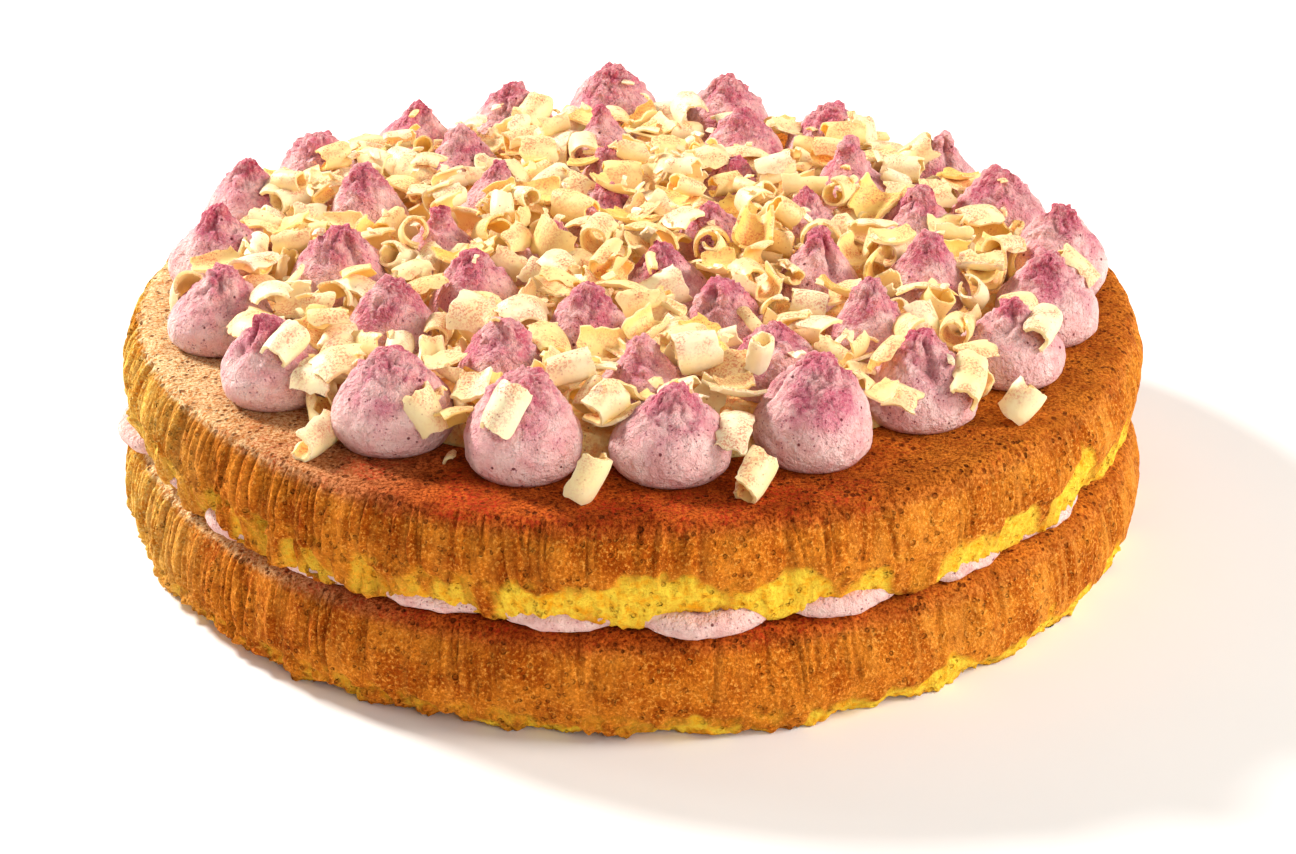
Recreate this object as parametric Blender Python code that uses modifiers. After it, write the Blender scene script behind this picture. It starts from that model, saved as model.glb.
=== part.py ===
"""Strawberry cream cake: two sponges, a cream filling, piped cream dollops and chocolate curls.

Metres, +Z up, with the origin in the middle of the underside. Azimuths are in degrees, from
the front of the cake (-Y) round by its right-hand side (+X).
"""

import math
import random
from collections import namedtuple

import bmesh
import bpy
from mathutils import Matrix, Vector, noise

# ---- driving dimensions ---------------------------------------------------------------
CAKE_RADIUS = 0.1210
LOWER_TOP = 0.0234  # top face of the lower sponge
UPPER_UNDERSIDE = 0.0293
UPPER_TOP = 0.0490  # the crust that the dollops stand on
CLEARANCE = 0.0003  # gap that touching solids keep
MERGE = 0.00001

# ---- sponges --------------------------------------------------------------------------
SPONGE_SHARP = 50.0  # angle in degrees from which an edge stays sharp
LOWER_STEPS = 80
UPPER_SHARE = 0.987  # the upper sponge's widest radius, as a share of the cake's
# A sponge's side between its two flat faces: share of its full radius, and how far below its
# top or above its base.
SIDE_BELOW_TOP = ((0.945, 0.0001), (0.984, 0.0036))
SIDE_ABOVE_BASE = ((0.990, 0.0024), (0.974, 0.0002))
FLAT_SHARE = 0.935  # how much of its radius the underside lies flat on
WAVE_DEPTH = 0.0008
WAVE_PACE = 2.3  # slow waves round the cake, as noise cells in its radius
WAVE_RISE = 30.0  # and up its side, as noise cells in a metre
PLEAT_DEPTH = 0.0012
PLEAT_PACE = 15.0
PLEAT_RISE = 20.0
CRUMB_DEPTH = 0.0026  # how far the rough lower edges are broken back
CRUMB_PACE = 9.0
CRUMB_SHARE = 0.35  # how much of its depth is broken back nearly everywhere
CRUMB_LAYER = 300.0  # sets the two sponges' lower edges apart in the noise
CRUMB_BAND = 0.0030  # height of that rough band
EDGE_SAG = 0.0006  # how far the upper sponge's lower edge sags all round
RIM_DROOP = 0.0030  # and how much further between the lobes, on to the lower sponge
DROOP_WIDTH = 1.6

# ---- filling --------------------------------------------------------------------------
FILLING_LOBES = 24
FIRST_LOBE = 7.5
LOBE_REACH = 0.992
LOBE_VALLEY = 0.915
LOBE_BLUNTNESS = 0.6
LOBE_RECESS = 0.024  # how much less the lobes reach out at the front left
RECESS_AZIMUTH = -37.0
FILLING_TOP_SHARE = 0.935  # how much of its own radius the filling's top is flat for
FILLING_LOW_SHARE = 0.960
FILLING_CORE = 0.90  # inside this share of the cake's radius there are no lobes
RIM_STEPS = 96  # four to a lobe, on the filling and on the sponge that sags round it

# ---- dollops --------------------------------------------------------------------------
# The outer ring, piped by hand: each dollop's azimuth, its radius as a share of the cake's, and
# its height against the usual one.
OUTER_PLACES = (
    (287.0, 0.800, 0.93), (306.0, 0.780, 0.92), (327.0, 0.760, 1.00), (346.0, 0.760, 1.06),
    (365.0, 0.750, 0.97), (384.0, 0.755, 1.14), (403.0, 0.740, 0.93), (421.0, 0.780, 0.88),
    (436.0, 0.800, 0.97), (450.5, 0.810, 1.05), (466.0, 0.760, 1.02), (485.0, 0.760, 0.96),
    (506.0, 0.750, 0.94), (525.0, 0.770, 1.04), (543.0, 0.800, 1.12), (560.0, 0.770, 1.03),
    (577.0, 0.780, 1.00), (595.0, 0.790, 0.95), (611.0, 0.810, 1.04), (628.5, 0.800, 0.98),
)
# The inner rings: radius as a share of the cake's, count, azimuth of the first dollop, and the
# drift of hand piping that comes once round: degrees and direction.
INNER_RINGS = (
    (0.562, 13, 356.5, 7.9, -51.0),
    (0.370, 9, 348.0, 0.0, 0.0),
    (0.172, 4, 20.0, 0.0, 0.0),
)
PLACE_SPREAD = 0.0006
MOST_LEAN = 0.0024
OUTER_UNEVENNESS = 0.02  # spread of the outer dollops' heights, beyond what is listed
INNER_UNEVENNESS = 0.11
DOLLOP_RADIUS = 0.0119
INNER_DOLLOP_RADIUS = 0.0106
RADIUS_SPREAD = (0.95, 1.05)
MOST_TURN = 40.0
DOLLOP_HEIGHT = 0.0198
DOLLOP_SHARP = 60.0
OUTER_SIDES = 8
INNER_SIDES = 7
# Half outline of a dollop, tip to foot: share of its radius, share of its height.
DOLLOP_OUTLINE = (
    (0.00, 1.00),
    (0.20, 0.92),
    (0.44, 0.76),
    (0.82, 0.52),
    (1.00, 0.24),
    (0.84, 0.00),
    (0.00, 0.00),
)

# ---- white chocolate curls -------------------------------------------------------------
CURL_LENGTH = 0.0098
CURL_RADIUS = 0.0029
CURL_THICKNESS = 0.0009
CURL_ARC = 285.0
CURL_STEPS = 5
CURL_SHARP = 40.0
# Spreads of the heap's curls: length, radius and arc against the usual ones, and the radius of
# one end against the other.
CURL_LENGTHS = (0.75, 1.2)
CURL_RADII = (0.85, 1.2)
CURL_ARCS = (0.62, 1.05)
CURL_FLARES = (0.8, 1.2)
HEAP_CURLS = 68
HEAP_REACH = 0.745  # radius that the heap's curls are spread over, as a share of the cake's
HEAP_LIMIT = 0.80  # and the one that no curl's end passes
CORE_REACH = 0.755
CORE_STEPS = 32
CORE_RINGS = 3
CORE_DEPTH = 0.0076  # at its rim, above the crust
CORE_CROWN = 0.0038  # how much deeper it is in the middle
CORE_BUMP = 0.0012
BUMP_PACE = 110.0  # noise cells in a metre
CORE_SHOULDER = (0.985, 0.75)  # share of its reach, and of its depth there
ROOM_RISE = 2.0  # how much more room there is below and above a dollop than beside it
GOLDEN_ANGLE = 137.508
CURL_CLEARANCE = 0.0006  # from a dollop's widest part
SIDE_CLEARANCE = 0.0009  # and from its side
EDGE_PARTS = 4  # parts of an edge, at whose ends its room is tested
CURL_TRIES = 40
SHORT_AFTER = 20  # tries, after which a curl that finds no room is cut shorter
SHORTER = 0.8
CURL_STEP = 0.0004  # how much further a curl is moved at each try
CURL_RISE = (0.0012, 0.0036)  # height of its middle over the core
CURL_LEAN = 38.0
CURL_SINK = 0.0006  # depth at which a point counts as sunk in the core
LEAST_SUNK = 8  # how many points have to be
CRUST_GAP = 0.0012

# Curls that lie on outer dollops: the dollop's number, the way it faces from the dollop's
# axis, its height up the side, its turn on that side, and its length against the usual one.
STUCK_CURLS = (
    (0, 235.0, 0.45, 70.0, 1.05),
    (1, 40.0, 0.72, 25.0, 1.00),
    (2, 40.0, 0.50, 100.0, 0.95),
    (3, 335.0, 0.74, 80.0, 1.00),
    (6, 62.0, 0.50, 20.0, 1.20),
    (7, 60.0, 0.66, 10.0, 1.05),
    (8, 110.0, 0.70, 60.0, 1.00),
    (11, 285.0, 0.70, 85.0, 1.05),
    (12, 50.0, 0.60, 60.0, 1.00),
    (15, 40.0, 0.66, 30.0, 1.05),
    (18, 70.0, 0.62, 10.0, 1.10),
)
STUCK_REACH = 0.75  # how far one reaches from its middle, in shares of its length
STUCK_STEP = 0.08  # shares of the height between which the side's slope is taken
STUCK_ARC = 0.7  # how much of a curl's usual arc they have
STUCK_FLARE = 1.1
STUCK_LIFT = 0.55  # height of the curl's axis over the cream, in shares of its radius
STRAY_SINK = 0.0009
STRAY_ROLL = 120.0
# Strays on the rim: azimuth, share of the cake's radius, turn, lean and length.
STRAY_CURLS = (
    (321.8, 0.872, 65.0, 0.0, 1.15),
    (355.6, 0.868, 20.0, 62.0, 1.00),
    (13.6, 0.872, 60.0, 25.0, 0.95),
    (50.0, 0.893, 15.0, 50.0, 0.80),
)

SEED = 4
Dollop = namedtuple("Dollop", "name x y radius height lean_x lean_y turn sides")


# ---- helpers --------------------------------------------------------------------------
def polar(azimuth, radius, height=0.0):
    angle = math.radians(azimuth)
    return Vector((radius * math.sin(angle), -radius * math.cos(angle), height))


def material(name, colour, roughness, subsurface=0.0):
    made = bpy.data.materials.new(name)
    made.use_nodes = True
    shader = made.node_tree.nodes["Principled BSDF"]
    shader.inputs["Base Color"].default_value = (*colour, 1.0)
    shader.inputs["Roughness"].default_value = roughness
    shader.inputs["Metallic"].default_value = 0.0
    shader.inputs["Subsurface Weight"].default_value = subsurface
    made.diffuse_color = (*colour, 1.0)
    return made


def evaluated(made):
    """The same object with its modifiers worked into its mesh."""
    graph = bpy.context.evaluated_depsgraph_get()
    mesh = bpy.data.meshes.new_from_object(made.evaluated_get(graph))
    made.modifiers.clear()
    plain = made.data
    made.data = mesh
    mesh.name = made.name
    bpy.data.meshes.remove(plain)
    return made


def linked(name, mesh, group):
    made = bpy.data.objects.new(name, mesh)
    group.objects.link(made)
    return made


def line_object(name, points, group):
    """An open line of straight edges in the XZ plane, from (radius, height) pairs."""
    mesh = bpy.data.meshes.new(name)
    edges = [(i, i + 1) for i in range(len(points) - 1)]
    mesh.from_pydata([(radius, 0.0, height) for radius, height in points], edges, [])
    return linked(name, mesh, group)


def turned(name, outline, steps, group):
    """A closed body spun about Z from an outline that runs down its outer side."""
    body = line_object(name, outline, group)
    spin = body.modifiers.new("Spin", "SCREW")
    spin.steps = spin.render_steps = steps
    spin.use_merge_vertices = True
    spin.merge_threshold = MERGE
    return evaluated(body)


def combined(body, pieces, operation):
    """Fuses the pieces into the body, or cuts them from it, and removes them."""
    group = bpy.data.collections.new(body.name + "_pieces")
    for piece in pieces:
        group.objects.link(piece)
    step = body.modifiers.new("Combine", "BOOLEAN")
    step.operation = operation
    step.operand_type = "COLLECTION"
    step.collection = group
    step.solver = "EXACT"
    evaluated(body)
    for piece in list(pieces):
        bpy.data.objects.remove(piece)
    bpy.data.collections.remove(group)
    return body


def keep_main_body(body):
    """Drops loose scraps, and fills sealed hollows, by keeping only the outer shell."""
    shell = bmesh.new()
    shell.from_mesh(body.data)
    left = set(shell.verts)
    islands = []
    while left:
        island = {left.pop()}
        front = list(island)
        while front:
            for edge in front.pop().link_edges:
                for vertex in edge.verts:
                    if vertex in left:
                        left.remove(vertex)
                        island.add(vertex)
                        front.append(vertex)
        islands.append(island)
    main = max(islands, key=len)
    loose = [vertex for island in islands if island is not main for vertex in island]
    bmesh.ops.delete(shell, geom=loose, context="VERTS")
    shell.to_mesh(body.data)
    shell.free()
    return body


def finish(body, surface, sharp_angle):
    """Gives the body its material and smooth shading that keeps the edges."""
    body.data.materials.clear()
    body.data.materials.append(surface)
    body.data.shade_smooth()
    body.data.set_sharp_from_angle(angle=math.radians(sharp_angle))
    return body


# ---- sponges --------------------------------------------------------------------------
def crust_relief(azimuth, height):
    """How far the crust lies inside its full radius: slow waves, and pleats of the paper."""
    around = polar(azimuth, 1.0)
    slow = noise.noise(around * WAVE_PACE + Vector((0.0, 0.0, height * WAVE_RISE)))
    pleat = noise.noise(around * PLEAT_PACE + Vector((0.0, 0.0, height * PLEAT_RISE)))
    return WAVE_DEPTH * (0.5 + 0.5 * slow) + PLEAT_DEPTH * (0.5 + 0.5 * pleat)


def crumb_relief(azimuth, base):
    """How far a rough lower edge is broken back."""
    around = polar(azimuth, 1.0)
    torn = noise.noise(around * CRUMB_PACE + Vector((0.0, 0.0, base * CRUMB_LAYER)))
    return CRUMB_DEPTH * max(0.0, CRUMB_SHARE + torn)


def lobe_share(azimuth):
    """How far the filling's lobes bulge at an azimuth, from 0 between two to 1."""
    return abs(math.cos(math.radians(azimuth - FIRST_LOBE) * FILLING_LOBES / 2.0)) ** LOBE_BLUNTNESS


def lobe_recess(azimuth):
    """How much less a lobe reaches out at an azimuth, as a share of the cake's radius."""
    return LOBE_RECESS * max(0.0, math.cos(math.radians(azimuth - RECESS_AZIMUTH))) ** 4


def sponge(name, full_radius, base, top, steps, sag, droop, group):
    """A flat round sponge with rounded, uneven sides and a rough lower edge."""
    below_top = [(full_radius * share, top - drop) for share, drop in SIDE_BELOW_TOP]
    above_base = [(full_radius * share, base + rise) for share, rise in SIDE_ABOVE_BASE]
    outline = (
        (0.0, top),
        *below_top,
        (full_radius, (base + top) / 2.0),
        *above_base,
        (full_radius * FLAT_SHARE, base),
        (0.0, base),
    )
    body = turned(name, outline, steps, group)
    for vertex in body.data.vertices:
        place = vertex.co
        radius = math.hypot(place.x, place.y)
        if radius < full_radius * FLAT_SHARE + CLEARANCE:
            continue
        azimuth = math.degrees(math.atan2(place.x, -place.y))
        inward = crust_relief(azimuth, place.z)
        if place.z < base + CRUMB_BAND:
            inward += crumb_relief(azimuth, base)
            place.z -= sag + droop * max(0.0, 1.0 - DROOP_WIDTH * lobe_share(azimuth))
        place.x *= 1.0 - inward / radius
        place.y *= 1.0 - inward / radius
    return body


def filling(group):
    """The cream between the sponges, which bulges at its rim in piped lobes."""
    low = LOWER_TOP + CLEARANCE
    high = UPPER_UNDERSIDE - CLEARANCE
    middle = (low + high) / 2.0
    outline = (
        (0.0, high),
        (CAKE_RADIUS * FILLING_TOP_SHARE, high),
        (CAKE_RADIUS, middle),
        (CAKE_RADIUS * FILLING_LOW_SHARE, low),
        (0.0, low),
    )
    body = turned("cream_filling", outline, RIM_STEPS, group)
    for vertex in body.data.vertices:
        place = vertex.co
        if math.hypot(place.x, place.y) < CAKE_RADIUS * FILLING_CORE:
            continue
        azimuth = math.degrees(math.atan2(place.x, -place.y))
        reach = LOBE_REACH - lobe_recess(azimuth)
        share = LOBE_VALLEY + (reach - LOBE_VALLEY) * lobe_share(azimuth)
        place.x *= share
        place.y *= share
    return body


# ---- dollops --------------------------------------------------------------------------
def ring_places():
    """Azimuth, share of radius and tallness of every dollop, ring by ring inwards."""
    rings = [OUTER_PLACES]
    for share, count, first, drift, direction in INNER_RINGS:
        even = [first + 360.0 * number / count for number in range(count)]
        moved = [azimuth + drift * math.cos(math.radians(azimuth - direction)) for azimuth in even]
        rings.append([(azimuth, share, 1.0) for azimuth in moved])
    return rings


def dollop_forms():
    """Place, size and lean of every dollop."""
    draw = random.Random(SEED)
    forms = []
    for ring, places in enumerate(ring_places(), 1):
        usual = DOLLOP_RADIUS if ring == 1 else INNER_DOLLOP_RADIUS
        uneven = OUTER_UNEVENNESS if ring == 1 else INNER_UNEVENNESS
        for number, (azimuth, share, tallness) in enumerate(places, 1):
            spread = draw.uniform(-PLACE_SPREAD, PLACE_SPREAD)
            place = polar(azimuth, share * CAKE_RADIUS + spread)
            lean = polar(draw.uniform(0.0, 360.0), draw.uniform(0.0, MOST_LEAN))
            form = Dollop(
                name=f"dollop_ring{ring}_{number:02d}",
                x=place.x,
                y=place.y,
                radius=usual * draw.uniform(*RADIUS_SPREAD),
                height=DOLLOP_HEIGHT * tallness * (1.0 + draw.uniform(-uneven, uneven)),
                lean_x=lean.x,
                lean_y=lean.y,
                turn=draw.uniform(0.0, MOST_TURN),
                sides=OUTER_SIDES if ring == 1 else INNER_SIDES,
            )
            forms.append(form)
    return forms


def dollop_radius(form, height):
    """The dollop's radius at a height above its foot, zero above its tip."""
    share = height / form.height
    for upper, lower in zip(DOLLOP_OUTLINE, DOLLOP_OUTLINE[1:-1]):
        if lower[1] <= share <= upper[1]:
            part = (share - lower[1]) / (upper[1] - lower[1])
            return form.radius * (lower[0] + part * (upper[0] - lower[0]))
    return 0.0


def dollop_point(form, azimuth, share):
    """A point on the dollop's side, at a share of its height."""
    side = polar(azimuth, dollop_radius(form, share * form.height))
    lean = Vector((form.lean_x, form.lean_y, 0.0)) * share**2
    foot = Vector((form.x, form.y, UPPER_TOP + CLEARANCE + share * form.height))
    return foot + side + lean


def dollop_body(form, group, grown=0.0):
    """A piped dollop, or a slightly larger one that cuts the room for it."""
    foot = UPPER_TOP + CLEARANCE
    outline = [(share * form.radius, rise * form.height) for share, rise in DOLLOP_OUTLINE]
    body = turned(form.name, outline, form.sides, group)
    body.data.transform(Matrix.Rotation(math.radians(form.turn), 4, "Z"))
    for vertex in body.data.vertices:
        place = vertex.co
        share = place.z / form.height
        radius = max(math.hypot(place.x, place.y), MERGE)
        place.x += grown * place.x / radius + form.lean_x * share**2
        place.y += grown * place.y / radius + form.lean_y * share**2
        place.z += grown * ROOM_RISE * (2.0 * share - 1.0)
    body.data.transform(Matrix.Translation((form.x, form.y, foot)))
    return body


# ---- curls ----------------------------------------------------------------------------
def curl_body(name, length, radius, arc, flare, group):
    """A rolled shaving: a line spun part of the way round X, and thickened."""
    half = length / 2.0
    mesh = bpy.data.meshes.new(name)
    mesh.from_pydata([(-half, 0.0, radius), (half, 0.0, radius * flare)], [(0, 1)], [])
    body = linked(name, mesh, group)
    roll = body.modifiers.new("Roll", "SCREW")
    roll.axis = "X"
    roll.angle = math.radians(arc)
    roll.steps = roll.render_steps = CURL_STEPS
    thicken = body.modifiers.new("Thicken", "SOLIDIFY")
    thicken.thickness = CURL_THICKNESS
    thicken.offset = 0.0
    evaluated(body)
    shell = bmesh.new()
    shell.from_mesh(body.data)
    bmesh.ops.recalc_face_normals(shell, faces=shell.faces)
    shell.to_mesh(body.data)
    shell.free()
    return body


def stand(body, place, turn, lean, roll):
    """Rolls a curl about its length, leans one end up, turns it about Z and moves it."""
    pose = Matrix.Translation(place)
    pose @= Matrix.Rotation(math.radians(turn), 4, "Z")
    pose @= Matrix.Rotation(math.radians(-lean), 4, "Y")
    pose @= Matrix.Rotation(math.radians(roll), 4, "X")
    body.data.transform(pose)
    return body


def edge_points(body):
    """Points along every edge of the body."""
    points = []
    for edge in body.data.edges:
        start, end = (body.data.vertices[index].co for index in edge.vertices)
        points.extend(start.lerp(end, step / EDGE_PARTS) for step in range(EDGE_PARTS + 1))
    return points


def hits_a_dollop(points, forms):
    """Whether any of the points comes too close to a dollop."""
    foot = UPPER_TOP + CLEARANCE
    for point in points:
        for form in forms:
            share = min(max((point.z - foot) / form.height, 0.0), 1.0)
            away_x = point.x - form.x - form.lean_x * share**2
            away_y = point.y - form.y - form.lean_y * share**2
            away = math.hypot(away_x, away_y)
            if away > form.radius + CURL_CLEARANCE:
                continue
            if share >= 1.0 and point.z > foot + form.height + CURL_CLEARANCE:
                continue
            if away < dollop_radius(form, share * form.height) + SIDE_CLEARANCE:
                return True
    return False


def hits_a_stuck_curl(points, forms):
    """Whether any of the points comes near a curl that lies on a dollop."""
    for number, facing, share, turn, size in STUCK_CURLS:
        middle = dollop_point(forms[number], facing, share)
        reach = CURL_LENGTH * size * STUCK_REACH
        if any((point - middle).length < reach for point in points):
            return True
    return False


def core_top(x, y):
    """Height of the heap's core: a low crown with bumps of the size of curls."""
    share = min(math.hypot(x, y) / (CORE_REACH * CAKE_RADIUS), 1.0)
    bump = noise.noise(Vector((x, y, 0.0)) * BUMP_PACE)
    return UPPER_TOP + CORE_DEPTH + CORE_CROWN * (1.0 - share**2) + CORE_BUMP * bump


def heap_core(forms, group):
    """The heap's core, with the room for the dollops cut out of it."""
    reach = CORE_REACH * CAKE_RADIUS
    foot = UPPER_TOP + CLEARANCE
    top = [(reach * ring / CORE_RINGS, foot + CORE_DEPTH) for ring in range(CORE_RINGS)]
    shoulder = (reach * CORE_SHOULDER[0], foot + CORE_DEPTH * CORE_SHOULDER[1])
    outline = (*top, shoulder, (reach, foot), (0.0, foot))
    core = turned("chocolate_curls", outline, CORE_STEPS, group)
    for vertex in core.data.vertices:
        place = vertex.co
        if place.z > shoulder[1] + MERGE:
            place.z = core_top(place.x, place.y)
    cutters = [dollop_body(form, group, grown=CLEARANCE) for form in forms]
    return combined(core, cutters, "DIFFERENCE")


def heap_curl(number, draw, forms, group):
    """One curl that shows on the heap, moved until it is clear of the dollops, or None."""
    share = math.sqrt((number + 0.5) / HEAP_CURLS)
    spot = polar(number * GOLDEN_ANGLE, HEAP_REACH * CAKE_RADIUS * share)
    for attempt in range(CURL_TRIES):
        shorter = 1.0 if attempt < SHORT_AFTER else SHORTER
        length = CURL_LENGTH * draw.uniform(*CURL_LENGTHS) * shorter
        radius = CURL_RADIUS * draw.uniform(*CURL_RADII)
        arc = CURL_ARC * draw.uniform(*CURL_ARCS)
        flare = draw.uniform(*CURL_FLARES)
        body = curl_body(f"curl_{number}", length, radius, arc, flare, group)
        stray = polar(draw.uniform(0.0, 360.0), CURL_STEP * attempt)
        place = spot + stray
        place.z = core_top(place.x, place.y) + draw.uniform(*CURL_RISE)
        lean = draw.uniform(-CURL_LEAN, CURL_LEAN)
        stand(body, place, draw.uniform(0.0, 360.0), lean, draw.uniform(0.0, 360.0))
        points = edge_points(body)
        sunk = sum(1 for point in points if point.z < core_top(point.x, point.y) - CURL_SINK)
        inside = max(math.hypot(point.x, point.y) for point in points) < HEAP_LIMIT * CAKE_RADIUS
        clear_of_crust = min(point.z for point in points) > UPPER_TOP + CRUST_GAP
        hits = hits_a_dollop(points, forms) or hits_a_stuck_curl(points, forms)
        if sunk > LEAST_SUNK and inside and clear_of_crust and not hits:
            return body
        bpy.data.objects.remove(body)
    return None


def curl_heap(forms, group):
    """The scattered white chocolate curls, as one body with the largest ones standing out."""
    draw = random.Random(SEED + 1)
    core = heap_core(forms, group)
    curls = [heap_curl(number, draw, forms, group) for number in range(HEAP_CURLS)]
    combined(core, [curl for curl in curls if curl], "UNION")
    return keep_main_body(core)


def stuck_curl(form, facing, share, turn, size, group):
    """A curl that lies on a dollop's side, sunk a little into the cream."""
    name = f"{form.name}_curl"
    arc = CURL_ARC * STUCK_ARC
    body = curl_body(name, CURL_LENGTH * size, CURL_RADIUS, arc, STUCK_FLARE, group)
    below = dollop_point(form, facing, share - STUCK_STEP)
    above = dollop_point(form, facing, share + STUCK_STEP)
    upwards = (above - below).normalized()
    across = polar(facing + 90.0, 1.0)
    outwards = across.cross(upwards).normalized()
    if outwards.dot(polar(facing, 1.0)) < 0.0:
        outwards.negate()
    angle = math.radians(turn)
    along = across * math.cos(angle) + upwards * math.sin(angle)
    side = outwards.cross(along)
    frame = Matrix((along, side, outwards)).transposed().to_4x4()
    centre = dollop_point(form, facing, share) + outwards * CURL_RADIUS * STUCK_LIFT
    half_roll = Matrix.Rotation(math.radians(arc / 2.0), 4, "X")
    body.data.transform(Matrix.Translation(centre) @ frame @ half_roll)
    return body


def stray_curl(number, azimuth, share, turn, lean, size, group):
    """A curl that has rolled off on to the rim, sunk a little into the crust."""
    name = f"stray_curl_{number}"
    body = curl_body(name, CURL_LENGTH * size, CURL_RADIUS, CURL_ARC, 1.0, group)
    stand(body, polar(azimuth, share * CAKE_RADIUS, UPPER_TOP), turn, lean, STRAY_ROLL)
    lowest = min(vertex.co.z for vertex in body.data.vertices)
    body.data.transform(Matrix.Translation((0.0, 0.0, UPPER_TOP - STRAY_SINK - lowest)))
    return body


# ---- the cake -------------------------------------------------------------------------
def build():
    for old in list(bpy.data.objects):
        bpy.data.objects.remove(old)
    cake = bpy.data.collections.new("strawberry_cream_cake")
    bpy.context.scene.collection.children.link(cake)

    crust = material("sponge_crust", (0.56, 0.27, 0.07), 0.80)
    cream = material("strawberry_cream", (0.83, 0.48, 0.55), 0.55, 0.2)
    pale_cream = material("filling_cream", (0.88, 0.66, 0.68), 0.55, 0.2)
    chocolate = material("white_chocolate", (0.92, 0.78, 0.48), 0.45, 0.2)

    lower = sponge("sponge_bottom", CAKE_RADIUS, 0.0, LOWER_TOP, LOWER_STEPS, 0.0, 0.0, cake)
    finish(lower, crust, SPONGE_SHARP)
    finish(filling(cake), pale_cream, SPONGE_SHARP)
    upper_radius = CAKE_RADIUS * UPPER_SHARE
    upper = sponge(
        "sponge_top", upper_radius, UPPER_UNDERSIDE, UPPER_TOP, RIM_STEPS, EDGE_SAG, RIM_DROOP, cake
    )
    strays = [
        stray_curl(number, *stray, cake) for number, stray in enumerate(STRAY_CURLS)
    ]
    finish(keep_main_body(combined(upper, strays, "UNION")), crust, SPONGE_SHARP)

    forms = dollop_forms()
    stuck = {number: place for number, *place in STUCK_CURLS}
    for number, form in enumerate(forms):
        body = dollop_body(form, cake)
        if number in stuck:
            curl = stuck_curl(form, *stuck[number], cake)
            keep_main_body(combined(body, [curl], "UNION"))
        finish(body, cream, DOLLOP_SHARP)
    finish(curl_heap(forms, cake), chocolate, CURL_SHARP)


build()
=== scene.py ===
"""Looks of the strawberry cream cake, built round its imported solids.

Metres, +Z up, with the origin in the middle of the underside. Azimuths are in degrees, from
the front of the cake (-Y) round by its right-hand side (+X). Colours are sRGB, 0 to 255.
"""

import math
import random
from collections import namedtuple

import bpy
import numpy as np
from mathutils import Matrix, Vector, noise as solid_noise


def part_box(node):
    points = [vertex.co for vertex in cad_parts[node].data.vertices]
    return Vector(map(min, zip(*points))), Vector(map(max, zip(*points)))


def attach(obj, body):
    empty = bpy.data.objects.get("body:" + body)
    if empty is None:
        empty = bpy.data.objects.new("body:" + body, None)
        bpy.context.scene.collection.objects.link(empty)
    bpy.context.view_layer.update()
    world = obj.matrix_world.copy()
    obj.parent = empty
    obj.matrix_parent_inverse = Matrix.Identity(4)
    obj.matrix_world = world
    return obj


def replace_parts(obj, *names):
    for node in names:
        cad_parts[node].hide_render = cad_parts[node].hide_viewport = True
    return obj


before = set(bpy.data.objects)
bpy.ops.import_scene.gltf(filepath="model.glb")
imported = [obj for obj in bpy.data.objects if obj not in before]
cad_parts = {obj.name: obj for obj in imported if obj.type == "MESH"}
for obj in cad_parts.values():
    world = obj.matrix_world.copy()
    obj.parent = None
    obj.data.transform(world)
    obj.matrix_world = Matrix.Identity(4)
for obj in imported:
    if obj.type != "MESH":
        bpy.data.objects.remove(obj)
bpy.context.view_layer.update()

# ---- the cake's own sizes, as its solids have them ----
CLEARANCE = 0.0003
CAKE_RADIUS = 0.121
UPPER_SHARE = 0.987
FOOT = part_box("dollop_ring1_01")[0].z  # where the dollops stand
UPPER_TOP = FOOT - CLEARANCE
LOWER_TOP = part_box("sponge_bottom")[1].z
FILLING_LOW, FILLING_HIGH = (corner.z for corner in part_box("cream_filling"))
UPPER_UNDERSIDE = FILLING_HIGH + CLEARANCE

WAVE_DEPTH = 0.0008
WAVE_PACE = 2.3
WAVE_RISE = 30.0
PLEAT_DEPTH = 0.0012
PLEAT_PACE = 15.0
PLEAT_RISE = 20.0
CRUMB_DEPTH = 0.0026
CRUMB_PACE = 9.0
CRUMB_SHARE = 0.35
CRUMB_LAYER = 300.0
FILLING_LOBES = 24
FIRST_LOBE = 7.5
LOBE_REACH = 0.992
LOBE_VALLEY = 0.915
LOBE_BLUNTNESS = 0.6
# Azimuth, share of the radius and tallness of each outer dollop.
OUTER_PLACES = (
    (287.0, 0.800, 0.93), (306.0, 0.780, 0.92), (327.0, 0.760, 1.00), (346.0, 0.760, 1.06),
    (365.0, 0.750, 0.97), (384.0, 0.755, 1.14), (403.0, 0.740, 0.93), (421.0, 0.780, 0.88),
    (436.0, 0.800, 0.97), (450.5, 0.810, 1.05), (466.0, 0.760, 1.02), (485.0, 0.760, 0.96),
    (506.0, 0.750, 0.94), (525.0, 0.770, 1.04), (543.0, 0.800, 1.12), (560.0, 0.770, 1.03),
    (577.0, 0.780, 1.00), (595.0, 0.790, 0.95), (611.0, 0.810, 1.04), (628.5, 0.800, 0.98),
)
# Share of the radius, number, first azimuth, and how far and from where they drift.
INNER_RINGS = (
    (0.562, 13, 356.5, 7.9, -51.0),
    (0.370, 9, 348.0, 0.0, 0.0),
    (0.172, 4, 20.0, 0.0, 0.0),
)
PLACE_SPREAD = 0.0006
MOST_LEAN = 0.0024
OUTER_UNEVENNESS = 0.02  # spread of the outer dollops' heights, beyond what is listed
INNER_UNEVENNESS = 0.11
DOLLOP_RADIUS = 0.0119
INNER_DOLLOP_RADIUS = 0.0106
DOLLOP_HEIGHT = 0.0198
CURL_LENGTH = 0.0098
CURL_RADIUS = 0.0029
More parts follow.
